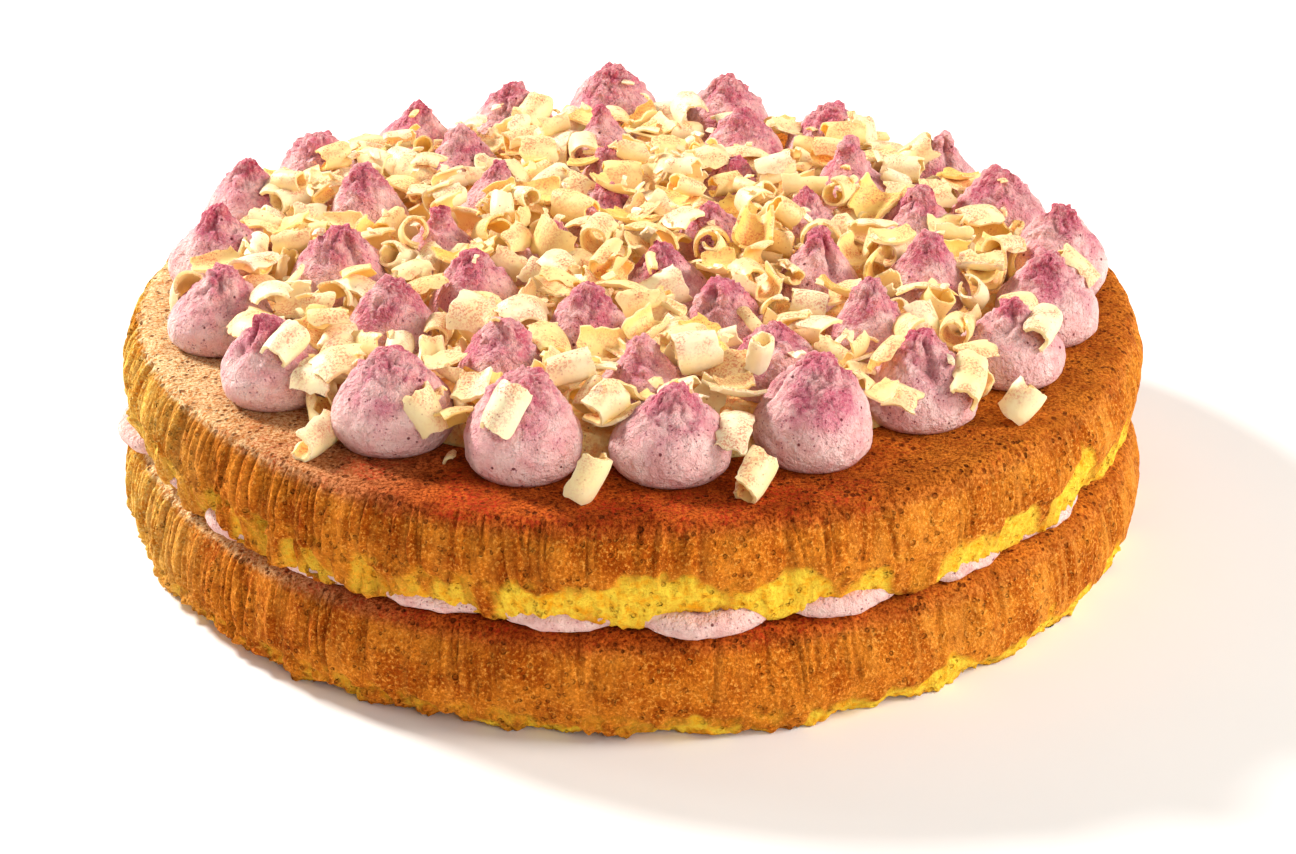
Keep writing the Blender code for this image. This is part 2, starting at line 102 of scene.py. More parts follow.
# Dollop, side of it, share of its height, turn and size of each curl.
STUCK_CURLS = (
    (0, 235.0, 0.45, 70.0, 1.05),
    (1, 40.0, 0.72, 25.0, 1.00),
    (2, 40.0, 0.50, 100.0, 0.95),
    (3, 335.0, 0.74, 80.0, 1.00),
    (6, 62.0, 0.50, 20.0, 1.20),
    (7, 60.0, 0.66, 10.0, 1.05),
    (8, 110.0, 0.70, 60.0, 1.00),
    (11, 285.0, 0.70, 85.0, 1.05),
    (12, 50.0, 0.60, 60.0, 1.00),
    (15, 40.0, 0.66, 30.0, 1.05),
    (18, 70.0, 0.62, 10.0, 1.10),
)
STUCK_STEP = 0.08
STUCK_LIFT = 0.55
# Azimuth, share of the radius, turn, lean and size of each.
STRAY_CURLS = (
    (321.8, 0.872, 65.0, 0.0, 1.15),
    (355.6, 0.868, 20.0, 62.0, 1.00),
    (13.6, 0.872, 60.0, 25.0, 0.95),
    (50.0, 0.893, 15.0, 50.0, 0.80),
)
STRAY_SINK = 0.0009
STRAY_ROLL = 120.0
SEED = 4
Dollop = namedtuple("Dollop", "name x y radius height lean_x lean_y outer")

# ---- what only shows here ----
# Azimuths towards which the crust changes: its right-hand side is at 90 and its left at -90.
# Paleness by azimuth is partly the crust's own lighter baking and partly painted light: paler on
# the left and right sides, which face the lamps, and darker towards the front, which is in shade.
PALEST_TOP = -100.0
DEEPEST_PLEATS = -95.0
PALEST_SIDE = -84.0
CRUMBLIEST_EDGE = -70.0
DARKEST_TOP = -8.0
TORN_SIDE = 50.0
LAMP_LIT_RIGHT = 75.0
STREAKED_RIGHT = 80.0
SPONGE_COLUMNS = 1740
FOOT_STEP = 0.00055  # row spacing near a sponge's lower edge; twice that above
FOOT_BAND = 0.015
FILLING_COLUMNS = 960
# How much of each lobe of the filling shows, from the first one round.
LOBE_SIZES = (
    1.0, 0.62, 0.38, 0.28, 0.12, 0.15, 0.45, 0.70, 0.40, 0.60, 0.80, 0.50,
    0.70, 0.45, 0.60, 0.35, 0.70, 0.50, 1.15, 0.00, 0.24, 0.18, 0.22, 0.42,
)
LOBE_DRIFT = 5.5  # degrees, by which the lobes at the left are pushed forwards
DRIFTED_LOBES = -77.0  # where they are pushed the most
LEAST_SAG = 0.0012  # of the upper sponge's lower edge, over the largest lobe
MOST_SAG = 0.0052  # and between two lobes, where it rests on the lower sponge
CROWN_ROWS = 9  # of points on a sponge's top, out to where the rounding of its rim starts
CROWN_EDGE = 0.944
UNDERSIDE_SHARES = (0.93, 0.88)  # of the radius, for the rows of points under a sponge
TORN_RISE = 0.0074  # how high the torn band reaches where it is highest
GROOVE_DEPTH = 0.0025
TORN_DEPTH = 0.0006
CREVICE_DEPTH = 0.001
LUMP_DEPTH = 0.00026
CRUMBLY_DEPTH = 0.00115  # how much deeper lumps are where the crust is crumbly
CROWN_BUMPS = 0.0004
LOBE_LACK = 0.042  # how much less the smallest lobe reaches out, as a share of the radius
LOBE_ROWS = 15
FILLING_INNER = 0.84  # where the filling's shown rim starts, as a share of the radius
SLUMP = 0.0006


# ---- noise ----
CORNERS = np.indices((2, 2, 2)).reshape(3, -1).T
NOISE_GAIN = 1.5
SPLINE_PARTS = 24  # in which a curve is measured from one knot to the next


def lattice_value(cells, seed):
    """A number from -1 to 1 for each whole-numbered lattice corner, by an integer hash."""
    mixed = cells[..., 0] * 73856093 ^ cells[..., 1] * 19349663 ^ cells[..., 2] * 83492791
    mixed = (mixed ^ (seed * 40503 + 977)) & 0x7FFFFFFF
    mixed = (mixed * 1103515245 + 12345) & 0x7FFFFFFF
    mixed ^= mixed >> 15
    mixed = (mixed * 668265263) & 0x7FFFFFFF
    return ((mixed >> 7) & 0xFFFF) / 32767.5 - 1.0


def noise(points, size, seed=0):
    """Smooth noise from about -1 to 1, whose lattice has cells of the given size."""
    scaled = np.asarray(points) / size
    low = np.floor(scaled).astype(np.int64)
    part = scaled - low
    ease = part**3 * (part * (part * 6.0 - 15.0) + 10.0)
    total = np.zeros(scaled.shape[:-1])
    for corner in CORNERS:
        share = np.prod(np.where(corner == 1, ease, 1.0 - ease), axis=-1)
        for axis in range(3):
            slope = lattice_value(low + corner, seed * 3 + axis)
            total += share * slope * (part[..., axis] - corner[axis])
    return total * NOISE_GAIN


def smoothstep(value, low, high):
    part = np.clip((value - low) / (high - low), 0.0, 1.0)
    return part * part * (3.0 - 2.0 * part)


def crease(value, width):
    """1 where the value crosses zero, falling to 0 on both sides: a narrow line."""
    return np.exp(-((value / width) ** 2))


# ---- shapes ----
def round_z(azimuths, radii, heights):
    """Points at azimuths, radii and heights, as an array whose last axis is XYZ."""
    angle = np.radians(azimuths)
    parts = np.broadcast_arrays(radii * np.sin(angle), -radii * np.cos(angle), heights)
    return np.stack(parts, axis=-1).astype(float)


def polar(azimuth, radius):
    """A point on the ground, as a vector."""
    angle = math.radians(azimuth)
    return Vector((radius * math.sin(angle), -radius * math.cos(angle), 0.0))


def spline(points, step):
    """A Catmull-Rom curve through the points, sampled about every step along its length."""
    knots = np.array(points, float)
    knots = np.vstack([2.0 * knots[0] - knots[1], knots, 2.0 * knots[-1] - knots[-2]])
    part = np.linspace(0.0, 1.0, SPLINE_PARTS, endpoint=False)[:, None]
    pieces = []
    for a, b, c, d in zip(knots, knots[1:], knots[2:], knots[3:]):
        bend = 2.0 * a - 5.0 * b + 4.0 * c - d
        twist = 3.0 * b - a - 3.0 * c + d
        pieces.append(0.5 * (2.0 * b + (c - a) * part + bend * part**2 + twist * part**3))
    fine = np.vstack([*pieces, knots[-2]])
    along = np.concatenate([[0.0], np.cumsum(np.linalg.norm(np.diff(fine, axis=0), axis=1))])
    places = np.linspace(0.0, along[-1], max(int(round(along[-1] / step)), 1) + 1)
    return np.stack([np.interp(places, along, fine[:, axis]) for axis in (0, 1)], axis=1)


def row_normals(rows):
    """Outward normals of a grid of points whose rows close round Z."""
    around = np.roll(rows, -1, axis=1) - np.roll(rows, 1, axis=1)
    down = np.gradient(rows, axis=0)
    normals = np.cross(down, around)
    return normals / np.maximum(np.linalg.norm(normals, axis=-1, keepdims=True), 1e-12)


def shown(name, data):
    """A new object in the scene."""
    made = bpy.data.objects.new(name, data)
    bpy.context.scene.collection.objects.link(made)
    return made


def piece(name, vertices, faces, surface, marks=None):
    """A shown piece of the cake, smooth shaded, with its marks as point attributes."""
    mesh = bpy.data.meshes.new(name)
    mesh.from_pydata(vertices.tolist(), [], faces)
    mesh.materials.append(surface)
    for mark, values in (marks or {}).items():
        layer = mesh.attributes.new(mark, "FLOAT", "POINT")
        layer.data.foreach_set("value", np.asarray(values, np.float32).ravel())
    mesh.shade_smooth()
    made = shown(name, mesh)
    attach(made, "root")
    return made


def turned_piece(name, rows, surface, marks=None):
    """A closed piece from rows of points round Z, the top row first."""
    count, columns = rows.shape[:2]
    vertices = np.vstack([rows.reshape(-1, 3), rows[0].mean(axis=0), rows[-1].mean(axis=0)])
    here = np.arange(count * columns).reshape(count, columns)
    after = np.roll(here, -1, axis=1)
    quads = np.stack([here[:-1], here[1:], after[1:], after[:-1]], axis=-1).reshape(-1, 4)
    top = [(count * columns, a, b) for a, b in zip(here[0].tolist(), after[0].tolist())]
    low = [(count * columns + 1, b, a) for a, b in zip(here[-1].tolist(), after[-1].tolist())]
    ends = {
        mark: np.concatenate([values.ravel(), [values[0].mean(), values[-1].mean()]])
        for mark, values in (marks or {}).items()
    }
    return piece(name, vertices, quads.tolist() + top + low, surface, ends)


# ---- materials ----
def linear(colour):
    """An sRGB colour from 0 to 255 as linear light."""
    parts = [channel / 255.0 for channel in colour]
    return (*(c / 12.92 if c <= 0.04045 else ((c + 0.055) / 1.055) ** 2.4 for c in parts), 1.0)


class Surface:
    """A material made of nodes; its methods add nodes and give the last one's output."""

    def __init__(self, name):
        self.material = bpy.data.materials.new(name)
        self.material.use_nodes = True
        self.tree = self.material.node_tree
        self.shader = self.tree.nodes["Principled BSDF"]
        self.place = self.tree.nodes.new("ShaderNodeTexCoord").outputs["Object"]

    def node(self, kind, settings, inputs):
        made = self.tree.nodes.new(kind)
        for key, value in settings.items():
            setattr(made, key, value)
        for key, value in inputs.items():
            self.feed(made.inputs[key], value)
        return made

    def feed(self, socket, value):
        if isinstance(value, bpy.types.NodeSocket):
            self.tree.links.new(value, socket)
        else:
            socket.default_value = value

    def noise(self, size, detail=2.0, roughness=0.5):
        inputs = {"Vector": self.place, "Scale": 1.0 / size}
        inputs |= {"Detail": detail, "Roughness": roughness}
        return self.node("ShaderNodeTexNoise", {}, inputs).outputs["Fac"]

    def ramp(self, value, low, high, start=0.0, end=1.0):
        """The value's way from low to high, as a number from start to end."""
        inputs = {0: value, 1: low, 2: high, 3: start, 4: end}
        return self.node("ShaderNodeMapRange", {"clamp": True}, inputs).outputs[0]

    def spots(self, spacing, full, none):
        """Scattered spots: 1 out to full from a point, 0 beyond none, in shares of the spacing."""
        inputs = {"Vector": self.place, "Scale": 1.0 / spacing, "Randomness": 1.0}
        away = self.node("ShaderNodeTexVoronoi", {}, inputs).outputs["Distance"]
        return self.ramp(away, full, none, 1.0, 0.0)

    def maths(self, operation, first, second):
        made = self.node("ShaderNodeMath", {"operation": operation}, {0: first, 1: second})
        return made.outputs[0]

    def times(self, first, second):
        return self.maths("MULTIPLY", first, second)

    def mix(self, share, first, second):
        """Two colours, each an sRGB triple or another node's output, mixed by a share."""
        first, second = (linear(c) if isinstance(c, tuple) else c for c in (first, second))
        inputs = {0: share, 6: first, 7: second}
        return self.node("ShaderNodeMix", {"data_type": "RGBA"}, inputs).outputs[2]

    def mark(self, name):
        settings = {"attribute_name": name, "attribute_type": "GEOMETRY"}
        return self.node("ShaderNodeAttribute", settings, {}).outputs["Fac"]

    def facing_up(self):
        """How much the surface faces up, from -1 to 1."""
        normal = self.node("ShaderNodeNewGeometry", {}, {}).outputs["Normal"]
        return self.node("ShaderNodeSeparateXYZ", {}, {0: normal}).outputs["Z"]

    def relief(self, height, depth, below=None):
        inputs = {"Height": height, "Strength": 1.0, "Distance": depth}
        if below is not None:
            inputs["Normal"] = below
        return self.node("ShaderNodeBump", {}, inputs).outputs["Normal"]

    def finish(self, colour, roughness, normal, **constants):
        self.feed(self.shader.inputs["Base Color"], colour)
        self.feed(self.shader.inputs["Roughness"], roughness)
        self.feed(self.shader.inputs["Normal"], normal)
        for name, value in constants.items():
            self.shader.inputs[name.replace("_", " ")].default_value = value
        return self.material


def crust_surface():
    """Baked sponge: golden to brown grain, pale pitted top, yellow where the crust is torn."""
    s = Surface("sponge_crust")
    pale = s.mark("pale")
    front = s.mark("front")
    top = s.mark("top")
    torn = s.mark("torn")
    grain = s.noise(0.0007, 3.0, 0.65)
    coarse = s.noise(0.0026, 3.0, 0.65)
    patches = s.noise(0.013, 3.0, 0.6)

    def over(share, below, brown, blond):
        """A share of a colour over another: brown, or blond where the crust is pale."""
        return s.mix(share, below, s.mix(pale, brown, blond))

    # Blond where the pale mark is high: partly the crust's own baking, partly painted light.
    side_dark = s.mix(pale, (152, 57, 2), (208, 114, 18))
    side_light = s.mix(pale, (226, 117, 18), (255, 210, 94))
    side = s.mix(s.ramp(grain, 0.38, 0.6), side_dark, side_light)
    side = over(s.ramp(patches, 0.42, 0.62, 0.5, 0.0), side, (232, 140, 34), (255, 210, 104))
    side = over(s.ramp(patches, 0.48, 0.66, 0.0, 0.6), side, (148, 56, 2), (224, 136, 28))
    side = over(s.ramp(coarse, 0.5, 0.64, 0.0, 0.55), side, (142, 54, 0), (206, 114, 18))
    side = over(s.ramp(grain, 0.56, 0.65, 0.0, 0.7), side, (250, 168, 66), (255, 222, 150))
    side = over(s.times(s.mark("streak"), 0.42), side, (240, 152, 52), (255, 212, 124))
    crumb_low = s.mix(pale, (255, 176, 26), (250, 174, 50))
    crumb_high = s.mix(pale, (255, 216, 64), (255, 222, 108))
    crumb = s.mix(s.ramp(coarse, 0.32, 0.54), crumb_low, crumb_high)
    crumb = over(s.ramp(grain, 0.48, 0.64, 0.0, 0.35), crumb, (228, 134, 10), (216, 128, 24))
    side = s.mix(torn, side, crumb)
    # Painted shade in the pleats' grooves and in the crumbly crevices.
    side = over(s.times(s.mark("groove_shade"), 0.64), side, (100, 34, 0), (164, 80, 12))

    top_dark = s.mix(pale, s.mix(front, (146, 66, 8), (112, 34, 0)), (206, 126, 48))
    top_light = s.mix(pale, s.mix(front, (226, 134, 44), (206, 98, 32)), (255, 234, 182))
    crown = s.mix(s.ramp(grain, 0.36, 0.58), top_dark, top_light)
    crown = s.mix(s.ramp(coarse, 0.5, 0.64, 0.0, 0.55), crown, top_dark)
    cloudy = s.times(s.ramp(patches, 0.48, 0.62, 0.0, 0.45), s.ramp(pale, 0.0, 1.0, 1.0, 0.3))
    crown = s.mix(cloudy, crown, top_dark)
    blush = s.ramp(s.noise(0.011, 3.0, 0.65), 0.45, 0.6)
    blush = s.times(blush, s.ramp(s.noise(0.001, 3.0, 0.7), 0.46, 0.6, 0.05, 1.0))
    blush = s.times(blush, s.ramp(front, 0.0, 1.0, 0.24, 0.72))
    crown = s.mix(blush, crown, (192, 48, 26))
    # Painted contact shadow: the crust is darkened round the foot of each dollop.
    crown = s.mix(s.times(s.mark("contact_shadow"), 0.35), crown, (122, 44, 8))
    colour = s.mix(top, side, crown)
    small_pits = s.times(s.spots(0.0018, 0.17, 0.31), s.ramp(s.noise(0.005), 0.42, 0.56))
    pits = s.maths("MAXIMUM", small_pits, s.spots(0.0044, 0.09, 0.16))
    top_share = s.ramp(top, 0.0, 1.0, 0.2, 0.85)
    pit_share = s.maths("MAXIMUM", top_share, s.ramp(torn, 0.0, 1.0, 0.2, 0.3))
    # Painted shade in the pits of the top and of the torn crumb.
    pit_shade = s.mix(torn, s.mix(pale, (104, 40, 4), (150, 76, 26)), (196, 106, 10))
    colour = s.mix(s.times(pits, pit_share), colour, pit_shade)

    rough = s.relief(s.noise(0.0006, 2.0, 0.7), 0.00025)
    rough = s.relief(grain, 0.0006, rough)
    rough = s.relief(coarse, 0.001, rough)
    rough = s.relief(pits, -0.0006, rough)
    return s.finish(colour, s.ramp(grain, 0.3, 0.7, 0.95, 0.82), rough, Specular_IOR_Level=0.06)


def cream_surface(name, pale, shade, rosy, tip):
    """Whipped strawberry cream: fine pores, dark red specks, rosy powder towards the tip."""
    s = Surface(name)
    rise = s.mark("rise")
    cloud = s.noise(0.006, 3.0, 0.6)
    fine = s.noise(0.0008, 3.0, 0.7)
    body = s.mix(s.ramp(s.noise(0.0036), 0.4, 0.7), pale, shade)
    drift = s.maths("ADD", rise, s.ramp(s.noise(0.0095), 0.3, 0.7, -0.28, 0.2))
    powder = s.times(s.ramp(drift, 0.24, 0.72), s.ramp(cloud, 0.38, 0.58, 0.15, 1.0))
    body = s.mix(s.times(s.ramp(fine, 0.34, 0.62, 0.55, 1.0), powder), body, rosy)
    dusty = s.times(s.ramp(drift, 0.68, 1.08), s.ramp(fine, 0.36, 0.6, 0.3, 1.0))
    body = s.mix(dusty, body, tip)
    # Painted shade in the folds of the curdled tip and in the cleft.
    body = s.mix(s.times(s.mark("crease"), 0.55), body, (134, 26, 44))
    specks = s.times(s.spots(0.0011, 0.13, 0.22), s.ramp(cloud, 0.42, 0.54))
    body = s.mix(s.times(specks, 0.65), body, (176, 48, 92))
    body = s.mix(s.times(s.spots(0.0044, 0.06, 0.1), 0.9), body, (104, 14, 30))
    pores = s.relief(fine, 0.0006)
    pores = s.relief(s.noise(0.0019, 3.0, 0.65), 0.0017, pores)
    pores = s.relief(specks, -0.0003, pores)
    return s.finish(
        body, s.ramp(fine, 0.3, 0.7, 0.72, 0.6), pores,
        Subsurface_Weight=0.25, Subsurface_Scale=0.0025, Subsurface_Radius=(1.0, 0.5, 0.4),
        Specular_IOR_Level=0.18,
    )


def red_dust(s, up):
    """Fine red powder that lies in drifts on what faces up, and a few larger grains."""
    drifts = s.ramp(s.noise(0.0055, 2.0, 0.6), 0.4, 0.56)
    grains = s.ramp(s.noise(0.0005, 2.0, 0.7), 0.46, 0.6, 0.16, 1.0)
    powder = s.times(s.times(drifts, grains), up)
    specks = s.times(s.spots(0.0013, 0.11, 0.2), s.ramp(s.noise(0.0045), 0.4, 0.54))
    return powder, s.times(specks, s.ramp(up, 0.0, 1.0, 0.25, 0.9))


def chocolate_surface():
    """White chocolate: waxy ivory to butter yellow, painted deeper inside a roll as shade, with
    red dust.
    """
    s = Surface("white_chocolate")
    # The tint mark is each shaving's own tone, plus painted shade inside a roll.
    bare = s.mix(s.mark("tint"), (255, 243, 208), (255, 206, 100))
    waxy = s.mix(s.ramp(s.noise(0.006), 0.38, 0.7, 0.0, 0.35), bare, (255, 224, 144))
    powder, specks = red_dust(s, s.ramp(s.facing_up(), -0.1, 0.7))
    colour = s.mix(s.times(powder, 0.68), waxy, (216, 84, 52))
    colour = s.mix(s.times(specks, 0.8), colour, (170, 58, 38))
    soft = s.relief(s.noise(0.0026), 0.00022)
    soft = s.relief(s.noise(0.0006, 1.0, 0.5), 0.00004, soft)
    return s.finish(
        colour, s.ramp(s.noise(0.003), 0.3, 0.7, 0.55, 0.42), soft,
        Subsurface_Weight=0.3, Subsurface_Scale=0.002, Subsurface_Radius=(1.0, 0.8, 0.5),
        Specular_IOR_Level=0.4,
    )


def shaded_bed_surface():
    """Chocolate crumbs at the bottom of the heap, painted warm orange as the shade deep among the
    shavings, and full of red dust.
    """
    s = Surface("chocolate_bed")
    crumbs = s.mix(s.ramp(s.noise(0.003, 2.0, 0.6), 0.35, 0.65), (248, 184, 104), (255, 226, 152))
    powder, specks = red_dust(s, s.ramp(s.noise(0.004), 0.3, 0.6))
    colour = s.mix(s.times(powder, 0.6), crumbs, (206, 84, 54))
    colour = s.mix(specks, colour, (140, 44, 30))
    rough = s.relief(s.noise(0.0014, 2.0, 0.6), 0.0008)
    return s.finish(
        colour, s.ramp(s.noise(0.002), 0.3, 0.7, 0.75, 0.55), rough,
        Subsurface_Weight=0.3, Subsurface_Scale=0.003, Specular_IOR_Level=0.2,
    )


# ---- sponges ----
def ring_noise(azimuth, pace, level):
    """The noise that shapes the solids' sides, at an azimuth."""
    return solid_noise.noise(polar(azimuth, 1.0) * pace + Vector((0.0, 0.0, level)))


def crust_relief(azimuth, height):
    """How far the crust lies inside its full radius: slow waves, and broad pleats."""
    slow = ring_noise(azimuth, WAVE_PACE, height * WAVE_RISE)
    pleat = ring_noise(azimuth, PLEAT_PACE, height * PLEAT_RISE)
    return WAVE_DEPTH * (0.5 + 0.5 * slow) + PLEAT_DEPTH * (0.5 + 0.5 * pleat)


def crumb_relief(azimuth, base):
    """How far a rough lower edge is broken back."""
    torn = ring_noise(azimuth, CRUMB_PACE, base * CRUMB_LAYER)
    return CRUMB_DEPTH * max(0.0, CRUMB_SHARE + torn)


def facing(azimuths, direction):
    """From 1 where the cake faces a direction to 0 on its far side."""
    return 0.5 + 0.5 * np.cos(np.radians(azimuths - direction))


def towards(azimuths, direction, low, high):
    """1 round a direction and 0 elsewhere, changing as the facing goes from low to high."""
    return smoothstep(facing(azimuths, direction), low, high)


def lobe_turn(azimuths):
    """How far each azimuth lies beyond the first lobe, as if all were evenly spread."""
    return azimuths - FIRST_LOBE - LOBE_DRIFT * facing(azimuths, DRIFTED_LOBES) ** 12


def lobe_wave(azimuths):
    """From 0 between two lobes of the filling to 1 in the middle of each."""
    return np.abs(np.cos(np.radians(lobe_turn(azimuths)) * FILLING_LOBES / 2.0))


def lobe_size(azimuths):
    """How much of the lobe at an azimuth shows."""
    number = np.round(lobe_turn(azimuths) * FILLING_LOBES / 360.0).astype(int)
    return np.array(LOBE_SIZES)[number % FILLING_LOBES]


def edge_sag(azimuths):
    """How far the upper sponge's lower edge hangs down."""
    opening = smoothstep(lobe_wave(azimuths), 0.1, 0.95) * lobe_size(azimuths)
    return MOST_SAG - (MOST_SAG - LEAST_SAG) * opening


def side_line(full_radius, base, top):
    """Half outline of a sponge's side, its points closer together near the lower edge."""
    fine = spline(
        (
            (full_radius * 0.950, top - 0.0001),
            (full_radius * 0.968, top - 0.0009),
            (full_radius * 0.984, top - 0.0036),
            (full_radius * 1.000, (base + top) / 2.0),
            (full_radius * 0.992, base + 0.0026),
            (full_radius * 0.976, base + 0.0003),
            (full_radius * 0.945, base),
        ),
        FOOT_STEP,
    )
    kept = [index % 2 == 0 or height < base + FOOT_BAND for index, height in enumerate(fine[:, 1])]
    return fine[kept]


def pleats(azimuths, drop, full_radius, seed):
    """Upright creases that the baking paper left, deep on the left, and lighter streaks."""
    flat = round_z(azimuths, full_radius, 0.0)[None]
    left = facing(azimuths, DEEPEST_PLEATS) ** 3
    right = towards(azimuths, STREAKED_RIGHT, 0.7, 0.95)
    swing = azimuths + 1.7 * noise(flat, 0.014, seed) * drop / 0.01
    lined = round_z(swing, full_radius, -drop * 0.08)
    wide = crease(noise(lined, 0.0038, seed + 1), 0.15) * (0.15 + 0.85 * left)
    narrow = crease(noise(lined, 0.002, seed + 2), 0.2) * (0.38 + 0.37 * left)
    kept = smoothstep(noise(lined, 0.0075, seed + 12), -0.2, 0.2)
    length = 0.0105 + 0.0045 * noise(flat, 0.007, seed + 3) + 0.006 * left
    reach = smoothstep(drop, 0.0002, 0.001) * (1.0 - smoothstep(drop, length, length + 0.004))
    grooves = np.maximum(wide, narrow) * reach * (0.8 * left + (1.0 - 0.8 * left) * kept)
    streaks = smoothstep(noise(lined, 0.0016, seed + 15), 0.05, 0.5)
    streaks = streaks * smoothstep(drop, 0.001, 0.003)
    return grooves, streaks * (0.3 + 0.7 * np.maximum(left, right))


def nearest_dollop(points, toppings):
    """Distance from each point to the foot of the nearest dollop."""
    apart = np.full(points.shape[:-1], CAKE_RADIUS)
    for form in toppings:
        away = np.hypot(points[..., 0] - form.x, points[..., 1] - form.y)
        apart = np.minimum(apart, away - form.radius)
    return apart


def torn_band(azimuths, flat, place, drop, climb, torn_base, torn_way, seed):
    """Where the crust is torn off and the yellow crumb shows, from 0 to 1."""
    band = torn_base + TORN_RISE * facing(azimuths, torn_way) ** 3
    band = band + 0.0088 * noise(flat, 0.019, seed + 6) + 0.0034 * noise(flat, 0.008, seed + 7)
    band = band + 0.0024 * noise(place, 0.0035, seed + 14)
    torn = smoothstep(band - climb, -0.0008, 0.0022) * smoothstep(drop, 0.004, 0.008)
    torn = torn * towards(azimuths, TORN_SIDE, 0.56, 0.72)
    lip = 0.001 + 0.0022 * noise(flat, 0.006, seed + 16) - climb
    return torn * (1.0 - 0.7 * smoothstep(lip, -0.0006, 0.0008))


def sponge(
    name, full_radius, base, top, inner, sag, raggedness, torn_base, torn_way, seed, toppings=(),
):
    """A sponge with a pitted top, pleated sides and a crumbly, torn lower edge."""
    side = side_line(full_radius, base, top)
    crown = np.linspace(inner, CROWN_EDGE, CROWN_ROWS) * full_radius
    under = np.array(UNDERSIDE_SHARES) * full_radius
    radii = np.concatenate([crown, side[:, 0], under])[:, None]
    levels = np.concatenate([np.full(len(crown), top), side[:, 1], np.full(len(under), base)])
    azimuths = np.arange(SPONGE_COLUMNS) * 360.0 / SPONGE_COLUMNS
    heights = levels[:, None]
    drop = top - heights
    climb = heights - base
    outer = smoothstep(radii, full_radius * 0.935, full_radius * 0.95)
    flat = round_z(azimuths, full_radius, 0.0)[None]
    place = round_z(azimuths, radii, heights)
    broad = np.array([[crust_relief(a, z) for a in azimuths] for z in levels])
    broken = np.array([crumb_relief(a, base) for a in azimuths])[None, :]
    grooves, streaks = pleats(azimuths, drop, full_radius, seed)

    torn = torn_band(azimuths, flat, place, drop, climb, torn_base, torn_way, seed)
    low = 1.0 - smoothstep(climb, 0.0016, 0.004)
    left_low = facing(azimuths, CRUMBLIEST_EDGE) ** 2 * (1.0 - smoothstep(climb, 0.004, 0.0085))
    crumbly = np.maximum(np.maximum(0.6 * low, 0.5 * torn), 1.3 * left_low * outer)
    lumps = 0.9 * noise(place, 0.0041, seed + 4) + 0.5 * noise(place, 0.0019, seed + 5)
    torn = np.maximum(torn, left_low * outer * smoothstep(lumps, -0.25, 0.45) * 0.75)
    crevices = crease(noise(place, 0.0027, seed + 17), 0.2) * np.clip(crumbly, 0.0, 1.0)

    inward = outer * broad + low * broken * outer
    inward += outer * (GROOVE_DEPTH * grooves + TORN_DEPTH * torn + CREVICE_DEPTH * crevices)
    depth = LUMP_DEPTH + CRUMBLY_DEPTH * crumbly
    inward += outer * smoothstep(drop, 0.0004, 0.003) * lumps * depth
    ragged = 0.0016 * noise(flat, 0.007, seed + 8) + 0.0007 * noise(flat, 0.0027, seed + 9)
    ragged = ragged + 0.0005 * noise(place, 0.0012, seed + 13)
    ragged = raggedness * ragged * (1.0 + 1.5 * noise(flat, 0.013, seed + 18))
    lift = low * outer * (ragged - sag(azimuths)[None, :])
    bumps = (1.0 - outer) * noise(place, 0.006, seed + 10) * CROWN_BUMPS
    rows = round_z(azimuths, radii - inward, heights + lift + bumps)
    rows[..., 2] = np.maximum(rows[..., 2], 0.0)

    rim = drop - 0.0006 - 0.001 * grooves - 0.0005 * noise(place, 0.0009, seed + 11)
    rim_width = 0.0007 + 0.0032 * (1.0 - towards(azimuths, PALEST_TOP, 0.55, 0.9))
    on_top = 1.0 - smoothstep(rim / rim_width, 0.0, 1.0)
    # Paleness round the cake: partly the crust's own baking, partly painted light on the sides
    # facing the key and right lamps, and painted shade at the front.
    pale_top = towards(azimuths, PALEST_TOP, 0.58, 0.97)
    pale_side = 0.06 + 0.94 * towards(azimuths, PALEST_SIDE, 0.9, 1.0)
    pale_side = pale_side + 0.08 * towards(azimuths, LAMP_LIT_RIGHT, 0.7, 0.95)
    marks = {
        "top": on_top,
        # painted shade in the grooves and crevices
        "groove_shade": np.maximum(grooves, 0.3 * crevices * outer * (1.0 - 0.8 * torn)),
        "streak": streaks,
        "torn": torn,
        "pale": pale_side + (pale_top - pale_side) * on_top,
        "front": towards(azimuths, DARKEST_TOP, 0.82, 0.98) * np.ones_like(inward),
        # painted contact shadow, darkest at the foot of each dollop
        "contact_shadow": 1.0 - smoothstep(nearest_dollop(rows, toppings), -0.001, 0.004),
    }
    return turned_piece(name, rows, CRUST, marks)


